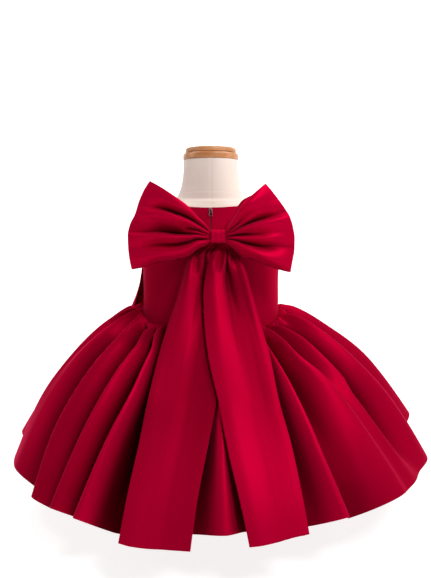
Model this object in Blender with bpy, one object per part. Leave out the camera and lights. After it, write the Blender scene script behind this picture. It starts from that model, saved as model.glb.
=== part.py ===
"""Toddler party dress of stiff crimson satin, worn on a small limbless dress form with a wooden stand.

Blender 4.5, metres, +Z up. The origin is the middle of the stand's underside. The back of the dress,
with its zip and its bow, faces -Y, and the wearer's left is at -X. All sizes below are in millimetres,
and angles run round the body in degrees: 0 at the centre back, 90 at the wearer's right side, 180 at
the centre front, -90 at the wearer's left side."""

import math

import bmesh
import bpy
import numpy as np
from mathutils import Matrix, Vector

MM = 0.001
GAP = 0.3  # between pieces that touch or are sewn together
CLOTH = 1.6  # satin with its backing

STAND_RADIUS = 112.0
STAND_THICKNESS = 15.0
POLE_RADIUS = 11.0
TORSO_BOTTOM = 152.0
NECK_TOP = 486.0
NECK_PLATE_RADIUS = 40.4
NECK_PLATE_THICKNESS = 9.6
NECK_CAP_RADIUS = 37.0
NECK_CAP_THICKNESS = 7.4

BODICE_OFF_FORM = 1.2  # inner face of the bodice over the form
UNDERARM_HEIGHT = 340.0
SHOULDER_TIP_HEIGHT = 407.0
ARMHOLE_HALF_ANGLE = 27.0
NECKLINE_BACK = 415.6
NECKLINE_FRONT = 410.5
NECKLINE_SHOULDER = 425.2
ZIP_HALF_ANGLE = 0.62
ZIP_GAP_ANGLE = 0.16

WAIST_SIDE = 270.0
WAIST_DIP = 23.0  # how much lower the waist seam is at the centre back and front
HEM_HEIGHT = 70.0
HEM_RADIUS = 295.0
HEM_SIDE_SHIFT = 9.0  # the skirt flares further on the wearer's right
SKIRT_BELL = 1.72  # power of the bell: 1 is a cone, more leaves the waist flatter
HEM_LIFT = 22.0  # how much higher the hem is on the big fold at the wearer's right side
HEM_LIFT_ANGLE = 99.0
HEM_LIFT_WIDTH = 14.0
TROUGH_DEPTH = 1.35  # the troughs are cut deeper than the table's rises by this factor
GATHERS = 56
GATHER_RISE = 2.3
GATHER_START = 0.02  # share of its length at which the skirt has come out from under the bodice's edge
GATHER_REACH = 0.42  # share of the skirt's length at which the gathers have melted away

SLIDER_THICKNESS = 1.6
BAIL_RADIUS = 2.3
BAIL_HOLE_RADIUS = 1.25
PULL_AXIS_OFF = BODICE_OFF_FORM + CLOTH + GAP + SLIDER_THICKNESS + 1.45  # the bail's middle over the form
PULL_AXIS_DOWN = 3.0  # the bail's middle below the slider's top, along the back
PULL_WIRE_RADIUS = 0.45
PULL_LENGTH = 10.5
PULL_LEAN = 9.0  # degrees by which the pull leans in from the slider to the cloth

KNOT_X = 9.5
KNOT_HEIGHT = 377.5
KNOT_WIDTH = 20.4
KNOT_TALL = 19.0
KNOT_FRONT = -96.0
KNOT_BACK = -72.4
LOOP_ROOT = 2.0  # where a loop starts, inside the knot
LOOP_NECK = 10.6  # where it comes out of the knot
NECK_REACH = 0.08
TAIL_STANDOFF = 4.5
TAIL_OVERLAP = 3.4  # the right tail lies over the left one

SATIN = ("satin", (0.55, 0.002, 0.03), 0.42, 0.0)
FORM_CLOTH = ("form_cloth", (0.80, 0.72, 0.65), 0.85, 0.0)
BEECH = ("beech", (0.62, 0.33, 0.15), 0.45, 0.0)
ZIP_TAPE = ("zip_tape", (0.33, 0.002, 0.02), 0.8, 0.0)
ZIP_METAL = ("zip_metal", (0.09, 0.06, 0.07), 0.35, 1.0)


def table(columns, rows):
    """A short table as arrays, one for each named column."""
    values = np.array(rows, float)
    return {name: values[:, i] for i, name in enumerate(columns.split())}


# The form from hip to neck: half width and half depth of each level section, how far its middle
# lies forward, and the power of its rounded outline, where 2 is an ellipse.
TORSO = table(
    "height half_width half_depth forward squareness",
    [
        (152, 88, 70, 0, 2.2),
        (156, 97, 78, 0, 2.2),
        (168, 102, 83, 0, 2.2),
        (195, 103, 84, 0, 2.2),
        (230, 100, 81, 0, 2.2),
        (262, 98, 78.5, 0, 2.2),
        (300, 97.6, 77, 1, 2.2),
        (335, 98.5, 76, 2, 2.2),
        (362, 101, 72, 3, 2.2),
        (385, 104, 65, 3, 2.2),
        (400, 104.5, 58, 3, 2.2),
        (409, 100, 53, 3, 2.2),
        (415, 89, 49.5, 3, 2.1),
        (420, 76, 47, 3, 2.1),
        (425, 62, 45, 3, 2.0),
        (430, 52, 43.5, 4, 2.0),
        (438, 47.2, 42.5, 4, 2.0),
        (450, 43, 41, 4, 2.0),
        (466, 40.6, 40, 4, 2.0),
        (486, 39.6, 39.6, 4, 2.0),
    ],
)

# Crests (+) and troughs (-) of the skirt, in order round the body: where each leaves the gathers and
# where it meets the hem, and how far it stands out at a third of the skirt, at two thirds and at the hem.
SKIRT_FOLDS = table(
    "angle_top angle_hem rise_top rise_middle rise_hem",
    [
        (-171, -172, -9, -9, -5),
        (-162, -163, 7, 9, 6),
        (-152, -153, -11, -11, -5),
        (-143, -143, 8, 10, 7),
        (-135, -134, -6, -5, -1),
        (-129, -128, 4, 6, 5),
        (-121, -120, -10, -11, -5),
        (-110, -108, 7, 8, 5),
        (-103, -100, -7, -6, -2),
        (-97, -95, 5, 8.5, 12.5),
        (-92, -84, -5, -6, -3),
        (-85, -73, 9.5, 11, 0.5),
        (-74, -66, 7, 6, 2.5),
        (-61, -55, -14, -12, -3.5),
        (-54, -46, 6, 8, 7),
        (-47, -43, -10, -6, 4.5),
        (-42, -39, 6, 8, 6.5),
        (-36, -35, -6, -9, 4),
        (-30, -31, 7, 10, 7),
        (-25, -27.5, -12, -15, 3.5),
        (-18, -18, -10, -13, 0),
        (-11, -11, 0, 0, 2),
        (-4, -4, -10, -12, -6),
        (2.5, 3, -2, 0, -2),
        (8, 8, -9, -10, -8),
        (14, 14, -1, 1, 0),
        (20.5, 20.5, -9, -12, -4),
        (24, 24, -9, -11, -4),
        (29.5, 29, 8, 10, -3),
        (34.5, 34, -10, -9, -1.5),
        (39, 39, 2, 3, -0.5),
        (44, 44, -6, -6, 0),
        (50, 49.5, 9, 9, 3),
        (56, 57, 5, 6, 3),
        (62, 63, -14, -12, 3.5),
        (79, 72, 12, 16, 11),
        (88, 88, -6, -5, -3),
        (98, 98, 8.5, 21, 18),
        (110, 109, -9, -8, -2),
        (115, 115, 3, 4, 4),
        (121, 122, -10, -10, -5),
        (131, 132, 8, 10, 7),
        (140, 141, -7, -6, -2),
        (147, 148, 4, 6, 4),
        (155, 156, -10, -11, -6),
        (165, 165, 8, 9, 6),
        (173, 173, -8, -8, -5),
        (181, 181, 5, 7, 4),
    ],
)
FOLD_LEVELS = (0.0, GATHER_START, 0.33, 0.66, 1.0)

# Lower and upper edge of each bow loop at each distance out from the knot's middle, level with which
# they are measured. They run on past the loop's corners, where its free end cuts them off.
LOOP_EDGES = {
    "left": table(
        "out bottom top",
        [
            (0, -5.4, 5.4),
            (10.6, -6.3, 6.4),
            (17, -11, 16),
            (26.5, -16.3, 25.5),
            (39, -26, 39.4),
            (57, -31.2, 52.8),
            (77, -34.1, 65.8),
            (98, -40.7, 77),
            (120, -45.2, 87),
        ],
    ),
    "right": table(
        "out bottom top",
        [
            (0, -5.4, 5.4),
            (10.6, -6.3, 6.4),
            (16, -12, 16.9),
            (23, -18, 28),
            (31.3, -26.2, 42),
            (47.6, -31.2, 56.6),
            (62, -37.3, 68.9),
            (80, -43.4, 82),
            (103, -49.5, 95),
        ],
    ),
}

# The free end of each loop from its lower corner to its upper corner, from the knot's middle.
LOOP_ENDS = {
    "left": table(
        "out up",
        [
            (114.5, -44.1),
            (117.2, -31.1),
            (118.9, -13.7),
            (119.2, 0.8),
            (116.1, 15.1),
            (109.0, 29.4),
            (104.1, 44.6),
            (96.2, 61.7),
            (89.0, 72.4),
        ],
    ),
    "right": table(
        "out up",
        [
            (96.8, -47.9),
            (99.1, -33.2),
            (101.4, -18.0),
            (101.6, -3.0),
            (99.4, 11.1),
            (95.1, 25.0),
            (87.6, 37.0),
            (75.0, 54.0),
            (62.0, 68.9),
        ],
    ),
}

# Half the distance between a loop's two layers, from the knot (0) to the free end (1), where the layers
# turn round into each other.
LOOP_FULLNESS = table(
    "reach half_gap",
    [(0, 5.4), (NECK_REACH, 6.0), (0.3, 11.0), (0.6, 14.0), (0.85, 11.0), (1.0, 5.0)],
)

# Creases of each loop's outer layer across its width: how far they stand out near the knot, halfway
# and at the loop's end.
LOOP_CREASES = {
    "left": table(
        "across rise_knot rise_middle rise_end",
        [
            (-1.0, -1, -3, -2),
            (-0.71, 5, 6, 4),
            (-0.47, -6, -7, -2),
            (-0.30, 3, 4, 4),
            (-0.12, -5, -8, -4),
            (0.29, 4, 5, 4),
            (0.48, -5, -8, -2),
            (0.86, 3, 5, 3),
            (1.0, -1, -1, -1),
        ],
    ),
    "right": table(
        "across rise_knot rise_middle rise_end",
        [
            (-1.0, -2, -5, -2),
            (-0.72, 5, 6, 4),
            (-0.5, -5, -7, -3),
            (-0.31, 4, 3, 1),
            (-0.15, -4, -1, 0),
            (0.05, 4, 4, 4),
            (0.24, -4, -7, -3),
            (0.8, 4, 6, 4),
            (1.0, -1, -1, -1),
        ],
    ),
}

# Left and right edge of each sash tail at each height, as seen from behind.
TAIL_EDGES = {
    "left": table(
        "height left_edge right_edge",
        [
            (373, -1, 8.5),
            (366, -3, 9),
            (350, -29, 4),
            (327, -37, 6),
            (295, -45, 12),
            (262, -56, 17),
            (231, -65, 14),
            (186, -75, 7),
            (150, -81, -2),
            (97, -91.5, -15),
            (60.5, -97.3, -21),
        ],
    ),
    "right": table(
        "height left_edge right_edge",
        [
            (373, 10.5, 20),
            (366, 10, 22),
            (350, -1, 38),
            (327, -7, 48),
            (302, -9.5, 54.5),
            (262, -7.5, 66),
            (227, -2, 75),
            (186, 9.5, 81.5),
            (145, 19, 92),
            (92, 32, 101),
            (68.5, 37, 104.3),
        ],
    ),
}
# How far each tail stands behind the body's middle down to the skirt's shoulder, and the radius of its
# bend across, level by level.
TAIL_DEPTH = table(
    "height depth bend",
    [
        (373, 71.0, 330),
        (367, 72.2, 320),
        (358, 79, 260),
        (345, 89, 200),
        (320, 101, 170),
        (295, 113, 160),
        (270, 127, 165),
        (248, 143, 175),
        (226, 162, 190),
        (58, 305, 330),
    ],
)
TAIL_LEAVES_AIR = 226.0  # the tails lie over the skirt below this height

# Creases across each tail: near the knot, at mid length and at the end.
TAIL_CREASES = {
    "left": table(
        "across rise_knot rise_middle rise_end",
        [
            (-1.0, -2, -1, 0),
            (-0.62, 6, 3, 1),
            (-0.3, -5, -1, 0),
            (0.0, 4, -2, -1),
            (0.35, -6, -4, -2),
            (0.7, -2, -3, -1),
            (1.0, -4, -3, -1),
        ],
    ),
    "right": table(
        "across rise_knot rise_middle rise_end",
        [
            (-1.0, 0, 0, 0),
            (-0.6, 6, 3, 1),
            (-0.25, -1, 1, 0),
            (0.05, 3, -4, -1),
            (0.3, -6, -3, 0),
            (0.62, 5, 2, 1),
            (1.0, -2, 0, 0),
        ],
    ),
}

# The pleated drape on the wearer's left front: how far it stands off the bodice at its lower edge, by
# its place from the side seam (0) to its front end (1).
DRAPE_FLARE = table(
    "along stand_off",
    [
        (0.0, 15),
        (0.1, 21),
        (0.22, 14),
        (0.36, 19),
        (0.5, 11),
        (0.64, 15),
        (0.8, 8),
        (1.0, 2.5),
    ],
)
DRAPE_START_ANGLE = -91.0
DRAPE_END_ANGLE = -158.0
DRAPE_TOP_SIDE = 334.0
DRAPE_TOP_FRONT = 292.0
DRAPE_BOTTOM = 271.5


def follow(places, values, at):
    """The smooth curve through (places, values), with no overshoot, read at any places."""
    step = np.diff(places)
    slope = np.diff(values) / step
    tangent = np.concatenate([slope[:1], np.zeros(len(slope) - 1), slope[-1:]])
    rising = slope[:-1] * slope[1:] > 0
    before = 2 * step[1:] + step[:-1]
    after = step[1:] + 2 * step[:-1]
    safe = np.where(slope == 0, 1.0, slope)
    blend = np.where(rising, before / safe[:-1] + after / safe[1:], 1.0)
    tangent[1:-1] = np.where(rising, (before + after) / blend, 0.0)
    at = np.clip(at, places[0], places[-1])
    k = np.clip(np.searchsorted(places, at, side="right") - 1, 0, len(step) - 1)
    t = (at - places[k]) / step[k]
    return (
        values[k] * (1 + 2 * t) * (1 - t) ** 2
        + tangent[k] * step[k] * t * (1 - t) ** 2
        + values[k + 1] * t**2 * (3 - 2 * t)
        + tangent[k + 1] * step[k] * t**2 * (t - 1)
    )


def waves(places, heights, at):
    """Rounded crests and troughs: half a cosine from each place to the next. places and heights are
    lists of numbers or of arrays shaped like at."""
    relief = np.zeros(np.shape(at))
    for k in range(len(places) - 1):
        share = (at - places[k]) / (places[k + 1] - places[k])
        inside = (share >= 0) & (share < 1)
        ease = 0.5 - 0.5 * np.cos(np.pi * np.clip(share, 0, 1))
        relief = np.where(inside, heights[k] + (heights[k + 1] - heights[k]) * ease, relief)
    return relief


def power(value, exponent):
    """A signed power, for a rounded outline."""
    return np.sign(value) * np.abs(value) ** exponent


def torso_point(angle, height):
    """The form's surface at an angle round the body and a height."""
    half_width = follow(TORSO["height"], TORSO["half_width"], height)
    half_depth = follow(TORSO["height"], TORSO["half_depth"], height)
    forward = follow(TORSO["height"], TORSO["forward"], height)
    exponent = 2 / follow(TORSO["height"], TORSO["squareness"], height)
    turn = np.radians(angle)
    return np.stack(
        [
            half_width * power(np.sin(turn), exponent),
            forward - half_depth * power(np.cos(turn), exponent),
            height + 0 * turn,
        ],
        -1,
    )


def normals(surface, across, along, step_across, step_along):
    """Unit normals of a surface of two parameters, from its slopes."""
    slope_across = surface(across + step_across, along) - surface(across - step_across, along)
    slope_along = surface(across, along + step_along) - surface(across, along - step_along)
    normal = np.cross(slope_across, slope_along)
    return normal / np.linalg.norm(normal, axis=-1, keepdims=True)


def over_form(angle, height, off):
    """A point that distance off the form's surface."""
    out = normals(torso_point, angle, height, 0.5, 0.5)
    return torso_point(angle, height) + out * np.asarray(off)[..., None]


def waist_height(angle):
    """The waist seam dips towards the centre back and the centre front."""
    facing = np.hypot(np.cos(np.radians(angle)), 0.12) - 0.12
    return WAIST_SIDE - WAIST_DIP * (1 - (1 - facing) ** 2.5)


def neckline_height(angle):
    """A wide boat neck: nearly straight across, and up to the shoulder seam."""
    turn = np.radians(angle)
    low = np.where(np.cos(turn) > 0, NECKLINE_BACK, NECKLINE_FRONT)
    return low + (NECKLINE_SHOULDER - low) * np.sin(turn) ** 2


def fold_rise(angle, reach):
    """How far the skirt's big folds stand out at an angle and a share of the skirt's length."""
    wrapped = (np.asarray(angle, float) + 171.0) % 360.0 - 171.0
    places = SKIRT_FOLDS["angle_top"][:, None, None] + (
        SKIRT_FOLDS["angle_hem"] - SKIRT_FOLDS["angle_top"]
    )[:, None, None] * np.clip(reach, 0, 1)
    levels = np.array(FOLD_LEVELS)
    heights = [
        follow(levels, np.array([0.0, 0.0, top, middle, hem]), reach) * (TROUGH_DEPTH if top < 0 else 1.0)
        for top, middle, hem in zip(
            SKIRT_FOLDS["rise_top"], SKIRT_FOLDS["rise_middle"], SKIRT_FOLDS["rise_hem"]
        )
    ]
    places = [*places, places[0] + 360.0]
    heights = [*heights, heights[0]]
    wrapped = np.where(wrapped < places[0], wrapped + 360.0, wrapped)
    return waves(places, heights, wrapped)


def skirt_point(angle, reach):
    """The middle of the skirt's wall, from the waist seam (reach 0) to the hem (reach 1): a bell between
    the waist's outline and a round hem, with the folds and the small gathers standing out of it."""
    reach = np.clip(reach, 0, 1)
    turn = np.radians(angle)
    waist = over_form(angle, waist_height(angle), BODICE_OFF_FORM + 0.3)
    radius = HEM_RADIUS + HEM_SIDE_SHIFT * np.sin(turn)
    top = waist[..., 2] - GAP - CLOTH / 2
    bell = reach**SKIRT_BELL
    x = waist[..., 0] + (radius * np.sin(turn) - waist[..., 0]) * reach
    y = waist[..., 1] + (-radius * np.cos(turn) - waist[..., 1]) * reach
    z = top - (top - HEM_HEIGHT) * bell
    fade = np.clip((reach - GATHER_START) / 0.05, 0, 1) * np.clip(1 - reach / GATHER_REACH, 0, 1) ** 1.5
    gather = GATHER_RISE * np.sin(GATHERS * turn) * fade
    rise = fold_rise(angle, reach)
    outward = rise * (0.45 + 0.55 * reach)
    x = x + outward * np.sin(turn)
    y = y - outward * np.cos(turn)
    lifted = HEM_LIFT * np.exp(-(((angle - HEM_LIFT_ANGLE) / HEM_LIFT_WIDTH) ** 2)) * reach**3
    z = z + (0.75 * rise + gather) * (1 - reach) + lifted
    return np.stack([x, y, z], -1)


def loop_point(side, along, across):
    """A bow loop's sheet: out from the knot (along 0) in its outer layer, round the loop's free end (0.5)
    and back to the knot (1) in its inner layer. across runs from its lower edge (-1) to its upper (1)."""
    edges, end, creases = LOOP_EDGES[side], LOOP_ENDS[side], LOOP_CREASES[side]
    sign = -1 if side == "left" else 1
    low = follow(edges["out"], edges["bottom"], end["out"])
    high = follow(edges["out"], edges["top"], end["out"])
    end_across = 2 * (end["up"] - low) / (high - low) - 1
    reach = np.sin(np.pi * np.clip(along, 0, 1))
    layer = np.cos(np.pi * np.clip(along, 0, 1))
    furthest = follow(end_across, end["out"], across)
    out = (
        LOOP_ROOT
        + (LOOP_NECK - LOOP_ROOT) * np.clip(reach / NECK_REACH, 0, 1)
        + (furthest - LOOP_NECK) * np.clip((reach - NECK_REACH) / (1 - NECK_REACH), 0, 1)
    )
    bottom = follow(edges["out"], edges["bottom"], out)
    top = follow(edges["out"], edges["top"], out)
    up = bottom + (top - bottom) * (across + 1) / 2
    half_gap = follow(LOOP_FULLNESS["reach"], LOOP_FULLNESS["half_gap"], reach)
    middle = (KNOT_FRONT + KNOT_BACK) / 2 - 8.0 * np.sin(np.pi * reach / 2)
    levels = np.array([0.0, NECK_REACH, 0.25, 0.6, 1.0])
    heights = [
        follow(levels, np.array([0.0, 0.06 * knot, 0.85 * knot, mid, end_rise]), reach)
        for knot, mid, end_rise in zip(
            creases["rise_knot"], creases["rise_middle"], creases["rise_end"]
        )
    ]
    rise = waves(creases["across"], heights, np.clip(across, -1, 0.9999))
    relief = np.where(layer > 0, 1.0, 0.3) * np.abs(layer)
    y = middle - layer * half_gap - rise * relief
    return np.stack([KNOT_X + sign * out, y, KNOT_HEIGHT + up], -1)


def tail_point(side, along, across):
    """A sash tail: from the knot (along 0) to its cut end (1), across from its left edge (-1) to its
    right edge (1). It stands clear of the bodice, then lies over the folds of the skirt."""
    edges, creases = TAIL_EDGES[side], TAIL_CREASES[side]
    top, bottom = edges["height"][0], edges["height"][-1]
    levels = edges["height"][::-1]
    height = top + (bottom - top) * along + 0 * across
    left_edge = follow(levels, edges["left_edge"][::-1], height)
    right_edge = follow(levels, edges["right_edge"][::-1], height)
    x = left_edge + (right_edge - left_edge) * (across + 1) / 2
    waist_z = WAIST_SIDE - WAIST_DIP

    def on_skirt(at):
        drop = np.clip((waist_z - at) / (waist_z - HEM_HEIGHT), 0, 1.08)
        return 80.0 + (HEM_RADIUS - 80.0) * drop ** (1 / SKIRT_BELL) + TAIL_STANDOFF

    levels = TAIL_DEPTH["height"][::-1]
    in_air = follow(levels, TAIL_DEPTH["depth"][::-1], height)
    landing = follow(levels, TAIL_DEPTH["depth"][::-1], TAIL_LEAVES_AIR) - on_skirt(TAIL_LEAVES_AIR)
    settled = np.clip((TAIL_LEAVES_AIR - height) / 60.0, 0, 1)
    depth = np.where(height > TAIL_LEAVES_AIR, in_air, on_skirt(height) + landing * (1 - settled))
    bend = follow(levels, TAIL_DEPTH["bend"][::-1], height)
    places = np.array([0.0, 0.04, 0.12, 0.5, 1.0])
    rises = [
        follow(places, np.array([0.02 * knot, 0.12 * knot, knot, mid, end]), along)
        for knot, mid, end in zip(
            creases["rise_knot"], creases["rise_middle"], creases["rise_end"]
        )
    ]
    rise = waves(creases["across"], rises, np.clip(across, -1, 0.9999))
    above = (TAIL_OVERLAP if side == "right" else 0.0) * np.clip(along / 0.05, 0, 1)
    return np.stack([x, -(depth - x**2 / (2 * bend) + rise + above), height], -1)


def drape_point(along, down):
    """The pleated drape: sewn along a slanting line from under the left arm to the front, and standing
    off the bodice more and more towards its lower edge."""
    angle = DRAPE_START_ANGLE + (DRAPE_END_ANGLE - DRAPE_START_ANGLE) * along
    top = DRAPE_TOP_SIDE + (DRAPE_TOP_FRONT - DRAPE_TOP_SIDE) * along
    height = top + (DRAPE_BOTTOM - top) * down
    flare = waves(DRAPE_FLARE["along"], DRAPE_FLARE["stand_off"], np.clip(along, 0, 0.9999))
    sewn = BODICE_OFF_FORM + CLOTH + GAP + CLOTH / 2
    return over_form(angle, height, sewn + flare * np.clip(down, 0, 1) ** 1.2)


def finish_mesh(name, points, faces, look):
    """An object of that name from points in millimetres, its faces turned outwards."""
    mesh = bpy.data.meshes.new(name)
    mesh.from_pydata((np.asarray(points) * MM).tolist(), [], [list(map(int, f)) for f in faces])
    shape = bmesh.new()
    shape.from_mesh(mesh)
    bmesh.ops.recalc_face_normals(shape, faces=shape.faces)
    shape.to_mesh(mesh)
    shape.free()
    mesh.shade_smooth()
    mesh.set_sharp_from_angle(angle=math.radians(50))
    obj = bpy.data.objects.new(name, mesh)
    bpy.context.scene.collection.objects.link(obj)
    return paint(obj, look)


def paint(obj, look):
    """Gives the object its material."""
    name, colour, roughness, metallic = look
    material = bpy.data.materials.get(name) or bpy.data.materials.new(name)
    material.use_nodes = True
    shader = material.node_tree.nodes["Principled BSDF"]
    shader.inputs["Base Color"].default_value = (*colour, 1)
    shader.inputs["Roughness"].default_value = roughness
    shader.inputs["Metallic"].default_value = metallic
    obj.data.materials.clear()
    obj.data.materials.append(material)
    return obj


def cloth_wall(name, outer, inner, look, round_it=False):
    """A closed wall between two grids of points. Both faces take the same diagonals, so that a thin
    wall never crosses itself. round_it joins the last column to the first."""
    rows, columns = outer.shape[:2]
    index = np.arange(rows * columns).reshape(rows, columns)
    if round_it:
        index = np.concatenate([index, index[:, :1]], axis=1)
    a, b, c, d = index[:-1, :-1], index[:-1, 1:], index[1:, 1:], index[1:, :-1]
    corners = [np.stack([a, b, c], -1).reshape(-1, 3), np.stack([a, c, d], -1).reshape(-1, 3)]
    face = np.concatenate(corners)
    count = rows * columns
    if round_it:
        loops = [index[0], index[-1][::-1]]
    else:
        loops = [np.concatenate([index[0], index[1:, -1], index[-1, -2::-1], index[-2::-1, 0]])]
    rims = []
    for loop in loops:
        here, there = loop[:-1], loop[1:]
        rims.append(np.stack([there, here, here + count], -1))
        rims.append(np.stack([there, here + count, there + count], -1))
    faces = np.concatenate([face, face[:, ::-1] + count, *rims])
    points = np.concatenate([outer.reshape(-1, 3), inner.reshape(-1, 3)])
    return finish_mesh(name, points, faces, look)


def solid_of_rings(name, rings, look):
    """A closed solid from level rings of points, lowest first, with a fan over each end."""
    rows, columns = rings.shape[:2]
    index = np.arange(rows * columns).reshape(rows, columns)
    index = np.concatenate([index, index[:, :1]], axis=1)
    a, b, c, d = index[:-1, :-1], index[:-1, 1:], index[1:, 1:], index[1:, :-1]
    side = np.concatenate([np.stack(t, -1).reshape(-1, 3) for t in ((a, b, c), (a, c, d))])
    bottom, top = rows * columns, rows * columns + 1
    low = np.stack([index[0, 1:], index[0, :-1], np.full(columns, bottom)], -1)
    high = np.stack([index[-1, :-1], index[-1, 1:], np.full(columns, top)], -1)
    centres = np.stack([rings[0].mean(0), rings[-1].mean(0)])
    points = np.concatenate([rings.reshape(-1, 3), centres])
    return finish_mesh(name, points, np.concatenate([side, low, high]), look)


def turned(name, profile, centre, look, sides=36):
    """A turned piece: a profile of (radius, height) rows round an upright line."""
    turn = np.linspace(0, 2 * np.pi, sides, endpoint=False)
    radius = np.array([r for r, _ in profile])[:, None]
    height = np.array([h for _, h in profile])[:, None]
    rings = np.stack(
        [
            centre[0] + radius * np.sin(turn),
            centre[1] - radius * np.cos(turn),
            height + 0 * turn,
        ],
        -1,
    )
    return solid_of_rings(name, rings, look)


def make_form():
    """Torso with neck, the two tiers of the neck plate, the pole and the round base."""
    angles = np.arange(0, 360, 10.0)[None, :]
    heights = np.array(
        [152, 156, 168, 195, 235, 275, 315, 343, 358, 372, 385, 396, 404, 410, 415, 420, 425, 431, 440, 458, 486],
        float,
    )[:, None]
    solid_of_rings("form_torso", torso_point(angles, heights), FORM_CLOTH)
    neck = (0.0, float(TORSO["forward"][-1]))
    low = NECK_TOP + GAP
    high = low + NECK_PLATE_THICKNESS
    r = NECK_PLATE_RADIUS
    plate = [(r - 1.2, low), (r, low + 1.2), (r, high - 2.4), (r - 0.9, high - 0.6), (r - 2.4, high)]
    turned("form_neck_plate", plate, neck, BEECH, sides=32)
    low = high + GAP
    high = low + NECK_CAP_THICKNESS
    r = NECK_CAP_RADIUS
    cap = [(r - 1.0, low), (r, low + 1.2), (r, high - 3.0), (r - 1.4, high - 0.8), (r - 4.0, high)]
    turned("form_neck_cap", cap, neck, BEECH, sides=32)
    r, high = STAND_RADIUS, STAND_THICKNESS
    base = [(r - 1.0, 0), (r, 1.0), (r, high - 5.0), (r - 1.6, high - 1.6), (r - 5.0, high)]
    turned("form_base", base, (0.0, 0.0), BEECH)
    pole = [(POLE_RADIUS, STAND_THICKNESS + GAP), (POLE_RADIUS, TORSO_BOTTOM - GAP)]
    turned("form_pole", pole, (0.0, 0.0), BEECH, sides=20)


def bodice_heights(share, angle):
    """Heights of the bodice's rows: the first run goes from the waist to the underarm, the second up the
    armhole, closer together at its ends, and the last over the shoulder to the neckline."""
    waist, neck = waist_height(angle), neckline_height(angle)
    underarm, tip = UNDERARM_HEIGHT, SHOULDER_TIP_HEIGHT
    low = waist + (underarm - waist) * np.clip(share, 0, 1)
    middle = underarm + (tip - underarm) * (0.5 - 0.5 * np.cos(np.pi * np.clip(share - 1, 0, 1)))
    high = tip + (neck - tip) * np.clip(share - 2, 0, 1)
    return np.where(share <= 1, low, np.where(share <= 2, middle, high))


def armhole_bite(share):
    """How many degrees the armhole takes out of a row, from the side line to its edge."""
    inside = np.clip(np.asarray(share) - 1, 0, 1)
    return ARMHOLE_HALF_ANGLE * np.sin(np.pi * inside)


def bodice_panel(name, start, end, spread, start_is_side, end_is_side):
    """One panel of the bodice, between two angles, its columns spread from 0 to 1. Where an end lies on
    the side line, the armhole is cut out of it, and each edge stops half a gap short of its seam."""
    shares = np.array(BODICE_ROWS)[:, None]
    bite = armhole_bite(shares)
    heights_at_middle = bodice_heights(shares, (start + end) / 2)
    half_width = follow(TORSO["height"], TORSO["half_width"], heights_at_middle)
    seam = np.degrees(GAP / 2 / half_width)
    first = start + seam + bite * start_is_side
    last = end - seam - bite * end_is_side
    angle = first + (last - first) * spread[None, :]
    height = bodice_heights(shares + 0 * angle, angle)
    height = height + (GAP / 2) * (shares == 0)
    inner = over_form(angle, height, BODICE_OFF_FORM + 0 * angle)
    outer = over_form(angle, height, BODICE_OFF_FORM + CLOTH + 0 * angle)
    cloth_wall(name, outer, inner, SATIN)


BODICE_ROWS = (0, 0.25, 0.5, 0.75, 1, 1.06, 1.15, 1.3, 1.5, 1.7, 1.85, 1.94, 2, 2.3, 2.6, 2.8, 3)


def make_bodice():
    """A front, and two backs that meet at the zip."""
    beside_zip = ZIP_HALF_ANGLE + ZIP_GAP_ANGLE / 2
    towards_side = 1 - (1 - np.linspace(0, 1, 13)) ** 1.5
    both_sides = 0.5 - 0.5 * np.cos(np.pi * np.linspace(0, 1, 23))
    bodice_panel("bodice_back_left", -90.0, -beside_zip, 1 - towards_side[::-1], True, False)
    bodice_panel("bodice_back_right", beside_zip, 90.0, towards_side, False, True)
    bodice_panel("bodice_front", 90.0, 270.0, both_sides, True, True)


def make_zip():
    """The closed zip as a narrow strip between the backs, its slider at the neckline, and the pull, a
    wire drop that hangs in the slider's bail and swings about it."""
    heights = np.linspace(waist_height(0.0) + 1.0, NECKLINE_BACK - 1.0, 12)[:, None]
    sides = np.linspace(-1, 1, 3)[None, :] * ZIP_HALF_ANGLE + 0 * heights
    heights = heights + 0 * sides
    inner = over_form(sides, heights, BODICE_OFF_FORM + 0 * sides)
    outer = over_form(sides, heights, BODICE_OFF_FORM + CLOTH - 0.3 + 0 * sides)
    cloth_wall("zip_tape", outer, inner, ZIP_TAPE)

    frame = zip_frame()
    low = BODICE_OFF_FORM + CLOTH + GAP
    slider = box_mesh("zip_slider", (-2.3, 2.3), (low, low + SLIDER_THICKNESS), (-7.6, 0.4), frame, ZIP_METAL)
    join = slider.modifiers.new("bail", "BOOLEAN")
    join.operation = "UNION"
    join.object = cylinder_mesh("bail_cutter", BAIL_RADIUS, 0.6, frame)
    hole = slider.modifiers.new("bail_hole", "BOOLEAN")
    hole.operation = "DIFFERENCE"
    hole.object = cylinder_mesh("bail_hole_cutter", BAIL_HOLE_RADIUS, 3.0, frame)

    curve = bpy.data.curves.new("zip_pull", "CURVE")
    curve.dimensions = "3D"
    curve.bevel_depth = PULL_WIRE_RADIUS * MM
    curve.bevel_resolution = 1
    line = curve.splines.new("POLY")
    hinge = placed(frame, 0.0, PULL_AXIS_OFF, -PULL_AXIS_DOWN)
    points = pull_points(frame)
    line.points.add(len(points) - 1)
    for spot, place in zip(line.points, points):
        spot.co = (*[float(v) for v in (place - hinge) * MM], 1)
    line.use_cyclic_u = True
    pull = bpy.data.objects.new("zip_pull", curve)
    pull.location = [float(v) for v in hinge * MM]
    bpy.context.scene.collection.objects.link(pull)
    paint(pull, ZIP_METAL)


def zip_frame():
    """Where the slider sits on the back: its origin on the form, and its across, out and up axes."""
    height = np.array(NECKLINE_BACK - 2.0)
    angle = np.array(0.0)
    out = normals(torso_point, angle, height, 0.5, 0.5)
    across = np.array([1.0, 0.0, 0.0])
    up = np.cross(across, -out)
    return torso_point(angle, height), across, out, up


def placed(frame, across, out, up):
    """A point given by its distances along the slider's axes."""
    origin, a, o, u = frame
    return origin + a * across + o * out + u * up


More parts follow.
